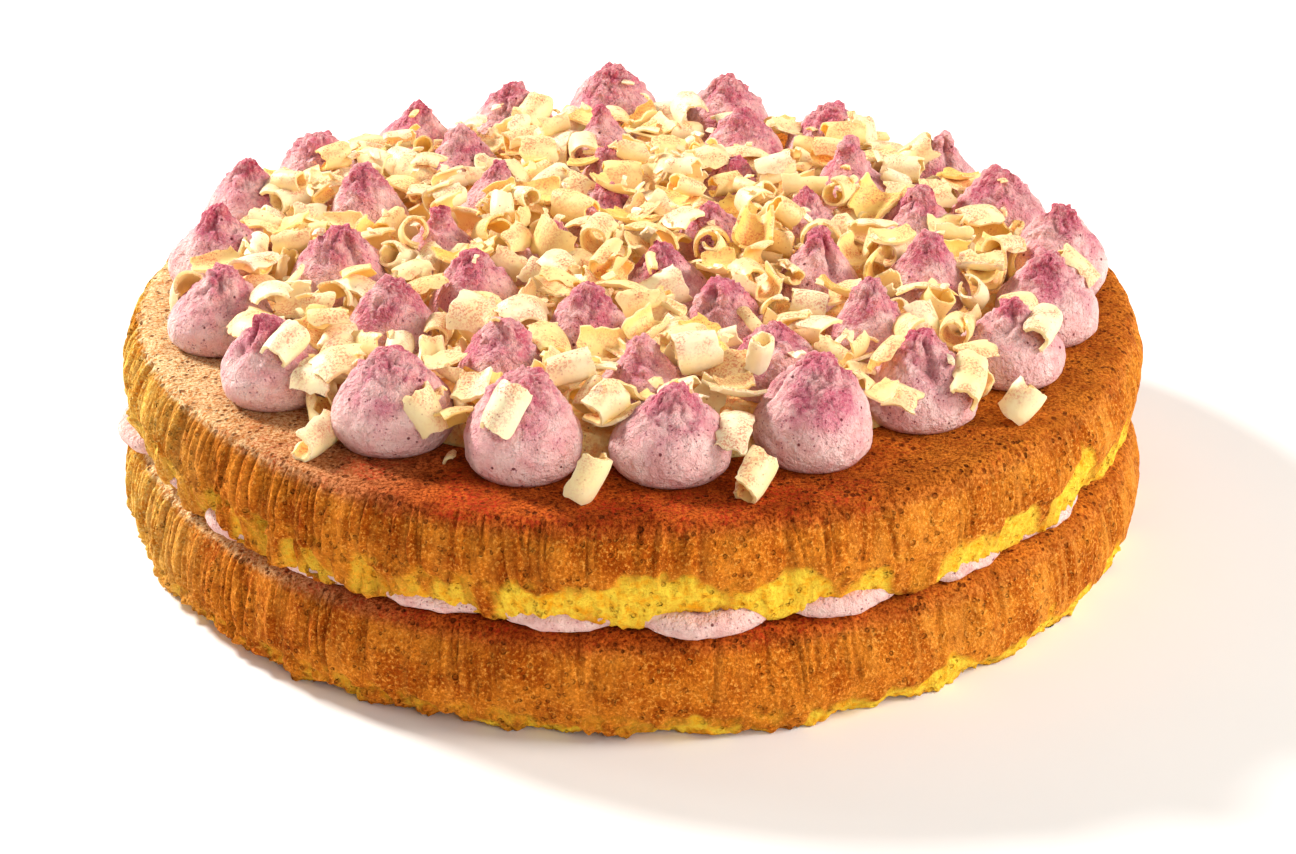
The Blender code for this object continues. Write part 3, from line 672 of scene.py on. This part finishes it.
def filling():
    """Piped lobes of pale cream that bulge out between the sponges."""
    azimuths = np.arange(FILLING_COLUMNS) * 360.0 / FILLING_COLUMNS
    flat = round_z(azimuths, CAKE_RADIUS, 0.0)[None]
    share = lobe_wave(azimuths) ** LOBE_BLUNTNESS
    farthest = LOBE_REACH - LOBE_LACK * (1.0 - lobe_size(azimuths))
    reach = CAKE_RADIUS * (LOBE_VALLEY + (farthest - LOBE_VALLEY) * share)[None]
    reach = reach + 0.001 * noise(flat, 0.012, 61) * share
    turn = np.linspace(0.0, math.pi, LOBE_ROWS)[:, None]
    middle = (FILLING_LOW + FILLING_HIGH) / 2.0
    half = (FILLING_HIGH - FILLING_LOW) / 2.0
    radii = reach - 1.5 * half * (1.0 - np.sin(turn))
    heights = middle + half * np.cos(turn) * np.ones_like(radii)
    slump = SLUMP * share * smoothstep(radii, CAKE_RADIUS * 0.935, CAKE_RADIUS * 0.99)
    heights = heights - slump * smoothstep(turn, 0.8, 2.4)
    inner = CAKE_RADIUS * FILLING_INNER * np.ones((1, FILLING_COLUMNS))
    radii = np.vstack([inner, radii, inner])
    high = np.full_like(inner, FILLING_HIGH)
    low = np.full_like(inner, FILLING_LOW)
    rows = round_z(azimuths, radii, np.vstack([high, heights, low]))
    bulge = smoothstep(radii, CAKE_RADIUS * 0.88, CAKE_RADIUS * 0.93)
    wobble = 0.0006 * noise(rows, 0.006, 62) + 0.00025 * noise(rows, 0.0018, 63)
    rows += row_normals(rows) * (bulge * wobble)[..., None]
    marks = {"rise": np.zeros_like(radii), "crease": np.zeros_like(radii)}
    made = turned_piece("filling_cream_lobes", rows, FILLING_CREAM, marks)
    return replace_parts(made, "cream_filling")


# ---- dollops ----
def ring_places():
    """Azimuth, share of radius and tallness of every dollop, ring by ring inwards."""
    rings = [OUTER_PLACES]
    for share, count, first, drift, direction in INNER_RINGS:
        even = [first + 360.0 * number / count for number in range(count)]
        moved = [azimuth + drift * math.cos(math.radians(azimuth - direction)) for azimuth in even]
        rings.append([(azimuth, share, 1.0) for azimuth in moved])
    return rings


def dollop_forms():
    """Place, size and lean of every dollop."""
    draw = random.Random(SEED)
    forms = []
    for ring, places in enumerate(ring_places(), 1):
        usual = DOLLOP_RADIUS if ring == 1 else INNER_DOLLOP_RADIUS
        uneven = OUTER_UNEVENNESS if ring == 1 else INNER_UNEVENNESS
        for number, (azimuth, share, tallness) in enumerate(places, 1):
            spread = draw.uniform(-PLACE_SPREAD, PLACE_SPREAD)
            place = polar(azimuth, share * CAKE_RADIUS + spread)
            lean = polar(draw.uniform(0.0, 360.0), draw.uniform(0.0, MOST_LEAN))
            radius = usual * draw.uniform(0.95, 1.05)
            height = DOLLOP_HEIGHT * tallness * (1.0 + draw.uniform(-uneven, uneven))
            draw.uniform(0.0, 40.0)  # how far the solid is turned, which doesn't show here
            name = f"dollop_ring{ring}_{number:02d}"
            forms.append(Dollop(name, place.x, place.y, radius, height, lean.x, lean.y, ring == 1))
    return forms


# Half outlines of a slim and of a full dollop, tip to foot: share of radius, share of height.
SLIM = (
    (0.00, 1.000), (0.13, 0.975), (0.20, 0.900), (0.29, 0.790), (0.54, 0.640),
    (0.82, 0.470), (0.97, 0.330), (1.00, 0.220), (0.97, 0.090), (0.86, 0.000),
)
FULL = (
    (0.00, 1.000), (0.20, 0.975), (0.36, 0.915), (0.55, 0.810), (0.74, 0.685),
    (0.89, 0.550), (0.99, 0.400), (1.02, 0.265), (0.99, 0.110), (0.87, 0.000),
)
MOST_FULL = 0.9
# Columns round a dollop, and the step between its rows as a share of its size.
OUTER_GRID = (84, 0.04)
INNER_GRID = (60, 0.056)
TIP_SHARE = 0.012  # of the radius, for the ring of points at the tip
OVALNESS = 0.025
FOLD_DEPTH = 0.0017
SMALL_FOLD_DEPTH = 0.001
FOLD_SINK = 0.0006
CLEFT_DEPTHS = (0.0, 0.0008, 0.0014, 0.002)
CLEFT_WIDTH = 15.0  # degrees round the dollop


def dollop_outline(number):
    """The half outline of one dollop, between the slim one and the full one."""
    fullness = random.Random(SEED * 1000 + number).uniform(0.0, MOST_FULL)
    return np.array(SLIM) + fullness * (np.array(FULL) - np.array(SLIM))


def dollop(form, number):
    """A piped dollop: smooth below, curdled at the tip where the nozzle pulled away."""
    draw = random.Random(SEED * 2000 + number)
    columns, step = OUTER_GRID if form.outer else INNER_GRID
    line = spline(dollop_outline(number), step)
    line[0, 0] = TIP_SHARE
    azimuths = np.arange(columns) * 360.0 / columns
    share = line[:, 1][:, None]
    oval = 1.0 + OVALNESS * np.cos(np.radians(2.0 * (azimuths - draw.uniform(0.0, 180.0))))
    rows = round_z(azimuths, line[:, 0][:, None] * form.radius * oval, share * form.height)
    rows[..., 0] += form.lean_x * share**2
    rows[..., 1] += form.lean_y * share**2
    outwards = row_normals(rows)
    rows += (form.x, form.y, FOOT)

    curdled = smoothstep(share + 0.14 * noise(rows, 0.006, 70), 0.5, 0.84)
    folds = np.abs(noise(rows, 0.0032, 71))
    small = np.abs(noise(rows, 0.0015, 72))
    relief = curdled * (FOLD_DEPTH * folds + SMALL_FOLD_DEPTH * small - FOLD_SINK)
    relief = relief + 0.0007 * noise(rows, 0.008, 73) + 0.00028 * noise(rows, 0.0019, 74)
    tear = draw.uniform(0.0, 360.0)
    away = (azimuths[None] - tear + 18.0 * noise(rows, 0.006, 75) + 180.0) % 360.0 - 180.0
    depth = draw.choice(CLEFT_DEPTHS)
    upper = smoothstep(share, 0.45, 0.7) * (1.0 - smoothstep(share, 0.9, 1.0))
    cleft = crease(away, CLEFT_WIDTH) * upper
    relief = (relief - depth * cleft) * smoothstep(share, 0.0, 0.1)
    rows += outwards * relief[..., None]
    rows[..., 2] = np.maximum(rows[..., 2], FOOT)
    # Painted shade, darkest in the folds of the curdled tip and in the cleft.
    fold_shade = curdled * (1.0 - smoothstep(folds, 0.0, 0.16)) * 0.7
    fold_shade = fold_shade + cleft * depth / CLEFT_DEPTHS[-1]
    marks = {"rise": share * np.ones_like(relief), "crease": np.clip(fold_shade, 0.0, 1.0)}
    name = form.name.replace("dollop", "cream_dollop")
    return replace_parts(turned_piece(name, rows, CREAM, marks), form.name)


# ---- white chocolate ----
# Kinds of shaving: length along the roll, radius, arc in degrees, flare of one end, thickness,
# and how many pieces along and round. All but the last two are ranges.
KINDS = {
    "rolled": (
        (0.0074, 0.0106), (0.0023, 0.0032), (250.0, 390.0), (0.75, 1.35), (0.0007, 0.0010), 8, 18,
    ),
    "open": (
        (0.0074, 0.0104), (0.0031, 0.0044), (130.0, 215.0), (0.60, 1.50), (0.0008, 0.0011), 8, 12,
    ),
    "fan": (
        (0.0070, 0.0098), (0.0040, 0.0058), (80.0, 125.0), (0.45, 1.60), (0.0008, 0.0011), 8, 10,
    ),
    "shard": (
        (0.0060, 0.0088), (0.0080, 0.0140), (34.0, 60.0), (0.60, 1.40), (0.0009, 0.0012), 7, 7,
    ),
    "sliver": (
        (0.0050, 0.0080), (0.0014, 0.0020), (110.0, 200.0), (0.70, 1.30), (0.0006, 0.0009), 5, 6,
    ),
    "chip": (
        (0.0014, 0.0034), (0.0010, 0.0020), (50.0, 130.0), (0.60, 1.40), (0.0005, 0.0009), 2, 2,
    ),
}
VARIANTS = 12
SHARP_FROM = 42.0  # degrees between faces, from which an edge of a shaving stays crisp
# The inside of a roll is painted yellower, as shade.
INSIDE_SHADE_TINT = 0.35  # how much yellower the inside of a roll is
JAG = 0.0011  # how far a shaving's ends are torn in and out
BARREL = 0.05  # how much slimmer a roll is at its ends
OVERLAP = 1.45  # thicknesses by which a full turn of a roll spirals outwards
EDGE_THINNING = 0.3
HEAP_KINDS = tuple(KINDS)[:-1]
HEAP_SHARES = (0.36, 0.28, 0.2, 0.12, 0.04)
MOST_SHAVINGS = 900
LEANING_SHARE = 0.12  # of the shavings, which fall anywhere, also on the dollops
SPOT_TRIES = 9
HEAP_REACH = 0.8
CHIPS = 170
CORE_REACH = 0.735
CORE_HEIGHT = 0.004
CORE_CROWN = 0.003
CORE_COLUMNS = 420
CORE_ROWS = 70
HEAP_RISE = 0.0102  # how far above the crust the heap reaches, how much more in the middle,
HEAP_MIDDLE = 0.0036  # and how much less at its edge
HEAP_EDGE = 0.003
LEAST_LACK = 0.0015  # how much lower a spot must be for a shaving to be dropped there
SHARD_TILT = 16.0  # degrees; the spread of lean and of roll, for the flat shards
LEAN_SPREAD = 28.0  # and the spread of lean for the others, which roll any way
MOST_OVER = 0.0075  # how far a shaving may stand out above the heap
MOST_LEANING_OVER = 0.012
CHIP_REACH = 0.76
STRAY_CHIPS = 12  # one chip in so many may lie further out
STRAY_CHIP_REACH = 0.86
CHIP_SINK = 0.0004
CURL_THICKNESS = 0.0012
CELL = 0.0008  # of the height map that shavings are dropped on
SPAN = 0.118
CELLS = int(2 * SPAN / CELL)


def shaving(length, radius, arc, flare, thickness, along, around, seed):
    """A strip with torn ends, rolled about X: points, faces, and a tint for each point."""
    steps = (np.linspace(0.0, 1.0, along + 1), np.linspace(0.0, 1.0, around + 1))
    u, v = np.meshgrid(*steps, indexing="ij")
    grid = np.stack([u * length, v * radius * math.radians(arc), np.zeros_like(u)], axis=-1)
    edge_u = smoothstep(np.abs(u - 0.5), 0.3, 0.5)
    edge_v = smoothstep(np.abs(v - 0.5), 0.35, 0.5)
    jag = noise(grid + (9.0, 0.0, 0.0), 0.0026, seed)
    jag = jag + 0.5 * noise(grid + (8.0, 0.0, 0.0), 0.0012, seed)
    x = (u - 0.5) * length + edge_u * np.sign(u - 0.5) * JAG * jag
    torn = 0.12 * noise(grid + (0.0, 9.0, 0.0), 0.0026, seed + 1) * edge_v * np.sign(v - 0.5)
    angle = math.radians(arc) * (v - 0.5 + torn)
    overlap = OVERLAP * thickness * arc / 360.0
    swell = radius * (1.0 + (flare - 1.0) * u) * (1.0 - BARREL * (2.0 * u - 1.0) ** 2)
    swell = swell + overlap * (v - 0.5) + 0.00025 * noise(grid, 0.004, seed + 2)
    thin = thickness * (1.0 - EDGE_THINNING * np.maximum(edge_u, edge_v)) / 2.0
    layers = []
    for side in (1.0, -1.0):
        at = swell + side * thin
        layers.append(np.stack([x, at * np.sin(angle), at * np.cos(angle)], axis=-1))
    points = np.concatenate([layer.reshape(-1, 3) for layer in layers])
    points -= points.mean(axis=0)
    index = np.arange(u.size).reshape(u.shape)
    quads = np.stack([index[:-1, :-1], index[1:, :-1], index[1:, 1:], index[:-1, 1:]], axis=-1)
    quads = quads.reshape(-1, 4)
    border = np.concatenate([index[:-1, 0], index[-1, :-1], index[:0:-1, -1], index[0, :0:-1]])
    after = np.roll(border, -1)
    rim = np.stack([border, border + u.size, after + u.size, after], axis=-1)
    faces = np.concatenate([quads[:, ::-1], quads + u.size, rim[:, ::-1]])
    return points, faces, np.repeat([0.0, INSIDE_SHADE_TINT], u.size)


def shaving_variants(kind, draw):
    """A set of unlike shavings of one kind."""
    *ranges, along, around = KINDS[kind]
    made = []
    for number in range(VARIANTS):
        sizes = [draw.uniform(*ends) for ends in ranges]
        made.append(shaving(*sizes, along, around, 100 + 5 * number))
    return made


def scattered(name, batches):
    """One piece of many shavings, from the points, faces and tints of each."""
    points, faces, tints = zip(*batches)
    starts = np.cumsum([0] + [len(some) for some in points])
    quads = np.concatenate([some + start for some, start in zip(faces, starts)]).tolist()
    marks = {"tint": np.concatenate(tints)}
    made = piece(name, np.concatenate(points), quads, CHOCOLATE, marks)
    made.data.set_sharp_from_angle(angle=math.radians(SHARP_FROM))
    return made


def turn_matrix(turn, lean, roll):
    """Rolls about X, leans one end up about Y and turns about Z, in degrees."""
    pose = Matrix.Rotation(math.radians(turn), 3, "Z")
    pose @= Matrix.Rotation(math.radians(-lean), 3, "Y")
    pose @= Matrix.Rotation(math.radians(roll), 3, "X")
    return np.array(pose)


def cell_of(points):
    """Row and column of the height map's cell under each point."""
    cells = ((points[..., :2] + SPAN) / CELL).astype(int)
    return tuple(np.clip(cells[..., axis], 0, CELLS - 1) for axis in (0, 1))


def core_height(x, y):
    """Height of the heap's core, with bumps of the size of shavings."""
    share = np.minimum(np.hypot(x, y) / (CORE_REACH * CAKE_RADIUS), 1.0)
    place = np.stack([x, y, np.zeros_like(x)], axis=-1)
    bumps = np.abs(noise(place, 0.007, 81)) * 0.003 + 0.0007 * noise(place, 0.0025, 82)
    height = CORE_HEIGHT + CORE_CROWN * (1.0 - share**2) + bumps
    return UPPER_TOP + height * (1.0 - smoothstep(share, 0.95, 1.0))


def heap_core():
    """The low bed of crumbs that the heap lies on, coloured as the painted warm shade deep in the
    heap.
    """
    radii = np.linspace(0.02, CORE_REACH * CAKE_RADIUS, CORE_ROWS)[:, None]
    azimuths = np.arange(CORE_COLUMNS) * 360.0 / CORE_COLUMNS
    rows = round_z(azimuths, radii, 0.0)
    rows[..., 2] = core_height(rows[..., 0], rows[..., 1])
    foot = round_z(azimuths, radii[-1:] * 0.98, UPPER_TOP - 0.0005)
    rows = np.concatenate([rows, foot])
    made = turned_piece("chocolate_bed", rows, SHADED_BED)
    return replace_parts(made, "chocolate_curls")


def bare_heights(forms):
    """Places of the height map's cells, and the heights of the crust, the core and the dollops."""
    centres = (np.arange(CELLS) + 0.5) * CELL - SPAN
    x, y = np.meshgrid(centres, centres, indexing="ij")
    heights = np.full(x.shape, UPPER_TOP)
    core = np.hypot(x, y) < CORE_REACH * CAKE_RADIUS
    heights[core] = core_height(x, y)[core]
    for number, form in enumerate(forms):
        line = dollop_outline(number)[:-3]
        away = np.hypot(x - form.x - form.lean_x / 2.0, y - form.y - form.lean_y / 2.0)
        rise = np.interp(away / form.radius, line[:, 0], line[:, 1], right=0.0)
        heights = np.maximum(heights, np.where(rise > 0.0, FOOT + rise * form.height, 0.0))
    return x, y, heights


def heap_target(away):
    """How high the heap may rise at a distance from the middle."""
    share = away / CAKE_RADIUS
    middle = HEAP_MIDDLE * (1.0 - smoothstep(share, 0.2, 0.56))
    return UPPER_TOP + HEAP_RISE + middle - HEAP_EDGE * smoothstep(share, 0.71, 0.8)


def laid(points, spot, heights, sink):
    """The points over a spot, let down until one of them touches, and then a little further."""
    placed = points + (*spot, 0.0)
    cells = cell_of(placed)
    rest = np.max(heights[cells] - placed[:, 2])
    placed[:, 2] += rest - sink
    return placed, cells


def chocolate_heap(forms):
    """Drops shavings one by one where the heap is lowest, each the way that lies lowest."""
    draw = random.Random(SEED + 7)
    x, y, heights = bare_heights(forms)
    away = np.hypot(x, y)
    target = heap_target(away)
    inside = away < HEAP_REACH * CAKE_RADIUS
    anywhere = np.flatnonzero(away < 0.72 * CAKE_RADIUS)
    variants = {kind: shaving_variants(kind, draw) for kind in HEAP_KINDS}
    batches = {kind: [] for kind in HEAP_KINDS}
    for _ in range(MOST_SHAVINGS):
        lack = np.where(inside, np.clip(target - heights - LEAST_LACK, 0.0, None), 0.0) ** 1.5
        total = np.cumsum(lack.ravel())
        if total[-1] <= 0.0:
            break
        kind = draw.choices(HEAP_KINDS, HEAP_SHARES)[0]
        points, faces, tints = draw.choice(variants[kind])
        points = points * draw.uniform(0.85, 1.12)
        leaning = draw.random() < LEANING_SHARE
        steep, wild = (SHARD_TILT, SHARD_TILT) if kind == "shard" else (LEAN_SPREAD, 180.0)
        tries = []
        for _ in range(SPOT_TRIES):
            spot = int(np.searchsorted(total, draw.random() * total[-1]))
            if leaning:
                spot = int(draw.choice(anywhere))
            roll = draw.choice((0.0, 180.0)) + draw.uniform(-wild, wild)
            pose = turn_matrix(draw.uniform(0.0, 360.0), draw.gauss(0.0, steep), roll)
            place = (x.flat[spot], y.flat[spot])
            placed, cells = laid(points @ pose.T, place, heights, 0.0)
            slack = np.mean(placed[:, 2] - heights[cells])
            over = np.max(placed[:, 2] - target[cells])
            height = 0.0 if leaning else np.mean(placed[:, 2])
            score = height + 1.6 * slack + 2.0 * max(over - 0.004, 0.0)
            tries.append((score, placed, cells, over))
        _, placed, cells, over = min(tries, key=lambda found: found[0])
        if over > (MOST_LEANING_OVER if leaning else MOST_OVER):
            continue
        placed[:, 2] -= draw.uniform(0.001, 0.0018) if leaning else draw.uniform(0.0004, 0.001)
        np.maximum.at(heights, cells, placed[:, 2])
        batches[kind].append((placed, faces, tints + draw.uniform(0.0, 1.0 - INSIDE_SHADE_TINT)))
    for kind, made in batches.items():
        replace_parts(scattered(f"chocolate_{kind}", made), "chocolate_curls")
    return heights


def chocolate_chips(heights):
    """Small chips and splinters, most of them on the heap and a few out on the crust."""
    draw = random.Random(SEED + 8)
    variants = shaving_variants("chip", draw)
    batches = []
    for number in range(CHIPS):
        points, faces, tints = draw.choice(variants)
        pose = turn_matrix(draw.uniform(0.0, 360.0), draw.gauss(0.0, 20.0), draw.gauss(0.0, 30.0))
        farthest = STRAY_CHIP_REACH if number % STRAY_CHIPS == 0 else CHIP_REACH
        spot = polar(draw.uniform(0.0, 360.0), CAKE_RADIUS * farthest * math.sqrt(draw.random()))
        placed, _ = laid(points @ pose.T, spot.xy, heights, CHIP_SINK)
        batches.append((placed, faces, tints + draw.uniform(0.0, 0.5)))
    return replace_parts(scattered("chocolate_chips", batches), "chocolate_curls")


def dollop_point(form, number, azimuth, share):
    """A point on a dollop's side, at a share of its height."""
    line = dollop_outline(number)[::-1]
    side = polar(azimuth, form.radius * float(np.interp(share, line[:, 1], line[:, 0])))
    lean = Vector((form.lean_x, form.lean_y, 0.0)) * share**2
    return Vector((form.x, form.y, FOOT + share * form.height)) + side + lean


def stuck_curl(form, number, facing_way, share, turn, size, draw):
    """A curl that lies on a dollop's side, sunk a little into the cream."""
    arc = draw.uniform(170.0, 230.0)
    length = CURL_LENGTH * size
    radius = CURL_RADIUS * draw.uniform(1.0, 1.2)
    sizes = (length, radius, arc, 1.1, CURL_THICKNESS)
    points, faces, tints = shaving(*sizes, along=8, around=14, seed=300 + number)
    below = dollop_point(form, number, facing_way, share - STUCK_STEP)
    above = dollop_point(form, number, facing_way, share + STUCK_STEP)
    upwards = (above - below).normalized()
    across = polar(facing_way + 90.0, 1.0)
    outwards = across.cross(upwards).normalized()
    if outwards.dot(polar(facing_way, 1.0)) < 0.0:
        outwards.negate()
    along = across * math.cos(math.radians(turn)) + upwards * math.sin(math.radians(turn))
    basis = np.array([along, outwards.cross(along), outwards])
    centre = dollop_point(form, number, facing_way, share) + outwards * CURL_RADIUS * STUCK_LIFT
    return points @ basis + np.array(centre), faces, tints + draw.uniform(0.0, 0.5)


def stray_curl(azimuth, share, turn, lean, size, draw):
    """A curl that has rolled off on to the rim, sunk a little into the crust."""
    arc = draw.uniform(200.0, 300.0)
    sizes = (CURL_LENGTH * size, CURL_RADIUS, arc, 1.15, CURL_THICKNESS)
    points, faces, tints = shaving(*sizes, along=8, around=16, seed=400)
    placed = points @ turn_matrix(turn, lean, STRAY_ROLL).T
    placed = placed + np.array(polar(azimuth, share * CAKE_RADIUS))
    placed[:, 2] += UPPER_TOP - STRAY_SINK - placed[:, 2].min()
    return placed, faces, tints + draw.uniform(0.0, 0.4)


def loose_curls(forms):
    """The curls on the outer dollops, and those that lie on the rim of the crust."""
    draw = random.Random(SEED + 9)
    stuck = [stuck_curl(forms[number], number, *place, draw) for number, *place in STUCK_CURLS]
    made = scattered("chocolate_on_dollops", stuck)
    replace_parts(made, *(forms[number].name for number, *place in STUCK_CURLS))
    strays = [stray_curl(*place, draw) for place in STRAY_CURLS]
    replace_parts(scattered("chocolate_on_crust", strays), "sponge_top")


# ---- stage ----
LENS = 77.92  # millimetres, for a sensor 36 wide
CAMERA_PLACE = (0.0022, -0.6023, 0.3124)
CAMERA_TURN = -0.12  # degrees round Z
CAMERA_PITCH = 26.42  # degrees downwards
LIT_POINT = (0.0, 0.0, 0.04)
# Name, place, width, watts and colour of each light: the key and a low one at the back left, and
# softer ones opposite and in front.
LIGHTS = (
    ("key", (-1.02, 0.70, 0.90), 0.30, 36.5, (1.0, 0.97, 0.92)),
    ("left", (-1.30, 0.40, 0.28), 0.20, 4.0, (1.0, 0.94, 0.84)),
    ("right", (1.22, -0.20, 0.72), 0.60, 17.2, (1.0, 0.96, 0.90)),
    ("front", (0.65, -1.25, 0.75), 1.00, 8.0, (1.0, 0.97, 0.93)),
)
WORLD_COLOUR = (1.0, 0.94, 0.87, 1.0)
WORLD_STRENGTH = 0.29
FLOOR_EDGE = 4.0
FLOOR_DROP = 0.0002  # how far the floor lies below the cake


def camera():
    """The view from the front, some 70 cm off, looking down at the cake."""
    lens = bpy.data.cameras.new("camera")
    lens.sensor_width = 36.0
    lens.lens = LENS
    made = shown("camera", lens)
    turn = Matrix.Rotation(math.radians(CAMERA_TURN), 4, "Z")
    tilt = Matrix.Rotation(math.radians(90.0 - CAMERA_PITCH), 4, "X")
    made.matrix_world = Matrix.Translation(CAMERA_PLACE) @ turn @ tilt
    bpy.context.scene.camera = made


def area_light(name, place, size, power, colour):
    lamp = bpy.data.lights.new(name, "AREA")
    lamp.shape = "DISK"
    lamp.size = size
    lamp.energy = power
    lamp.color = colour
    made = shown(name, lamp)
    made.location = place
    made.rotation_mode = "QUATERNION"
    made.rotation_quaternion = (Vector(LIT_POINT) - Vector(place)).to_track_quat("-Z", "Y")


def studio():
    """A warm white world, the lights, and a white floor."""
    world = bpy.data.worlds.new("studio")
    world.use_nodes = True
    background = world.node_tree.nodes["Background"]
    background.inputs["Color"].default_value = WORLD_COLOUR
    background.inputs["Strength"].default_value = WORLD_STRENGTH
    bpy.context.scene.world = world
    bpy.context.scene.view_settings.view_transform = "Standard"
    for light in LIGHTS:
        area_light(*light)

    mesh = bpy.data.meshes.new("floor")
    ways = ((-1.0, -1.0), (1.0, -1.0), (1.0, 1.0), (-1.0, 1.0))
    corners = [(x * FLOOR_EDGE, y * FLOOR_EDGE, 0.0) for x, y in ways]
    mesh.from_pydata(corners, [], [(0, 1, 2, 3)])
    floor = shown("floor", mesh)
    floor.location.z = -FLOOR_DROP
    s = Surface("floor")
    speckle = s.mix(s.noise(0.05), (246, 246, 246), (250, 250, 250))
    roughness = s.ramp(s.noise(0.02), 0.0, 1.0, 0.75, 0.85)
    mesh.materials.append(s.finish(speckle, roughness, s.relief(s.noise(0.001), 0.00002)))


CRUST = crust_surface()
CREAM = cream_surface(
    "strawberry_cream", (250, 208, 203), (236, 176, 174), (213, 112, 136), (184, 62, 88),
)
FILLING_CREAM = cream_surface(
    "filling_cream", (248, 208, 200), (236, 180, 174), (222, 140, 150), (200, 90, 110),
)
CHOCOLATE = chocolate_surface()
SHADED_BED = shaded_bed_surface()

camera()
studio()
forms = dollop_forms()
lower = sponge(
    "sponge_lower", CAKE_RADIUS, 0.0, LOWER_TOP,
    inner=0.8, sag=np.zeros_like, raggedness=1.2, torn_base=-0.001, torn_way=52.0, seed=11,
)
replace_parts(lower, "sponge_bottom")
upper = sponge(
    "sponge_upper", CAKE_RADIUS * UPPER_SHARE, UPPER_UNDERSIDE, UPPER_TOP,
    inner=0.66, sag=edge_sag, raggedness=0.5, torn_base=-0.0006, torn_way=25.0, seed=31,
    toppings=forms,
)
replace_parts(upper, "sponge_top")
filling()
for number, form in enumerate(forms):
    dollop(form, number)
heap_core()
chocolate_chips(chocolate_heap(forms))
loose_curls(forms)
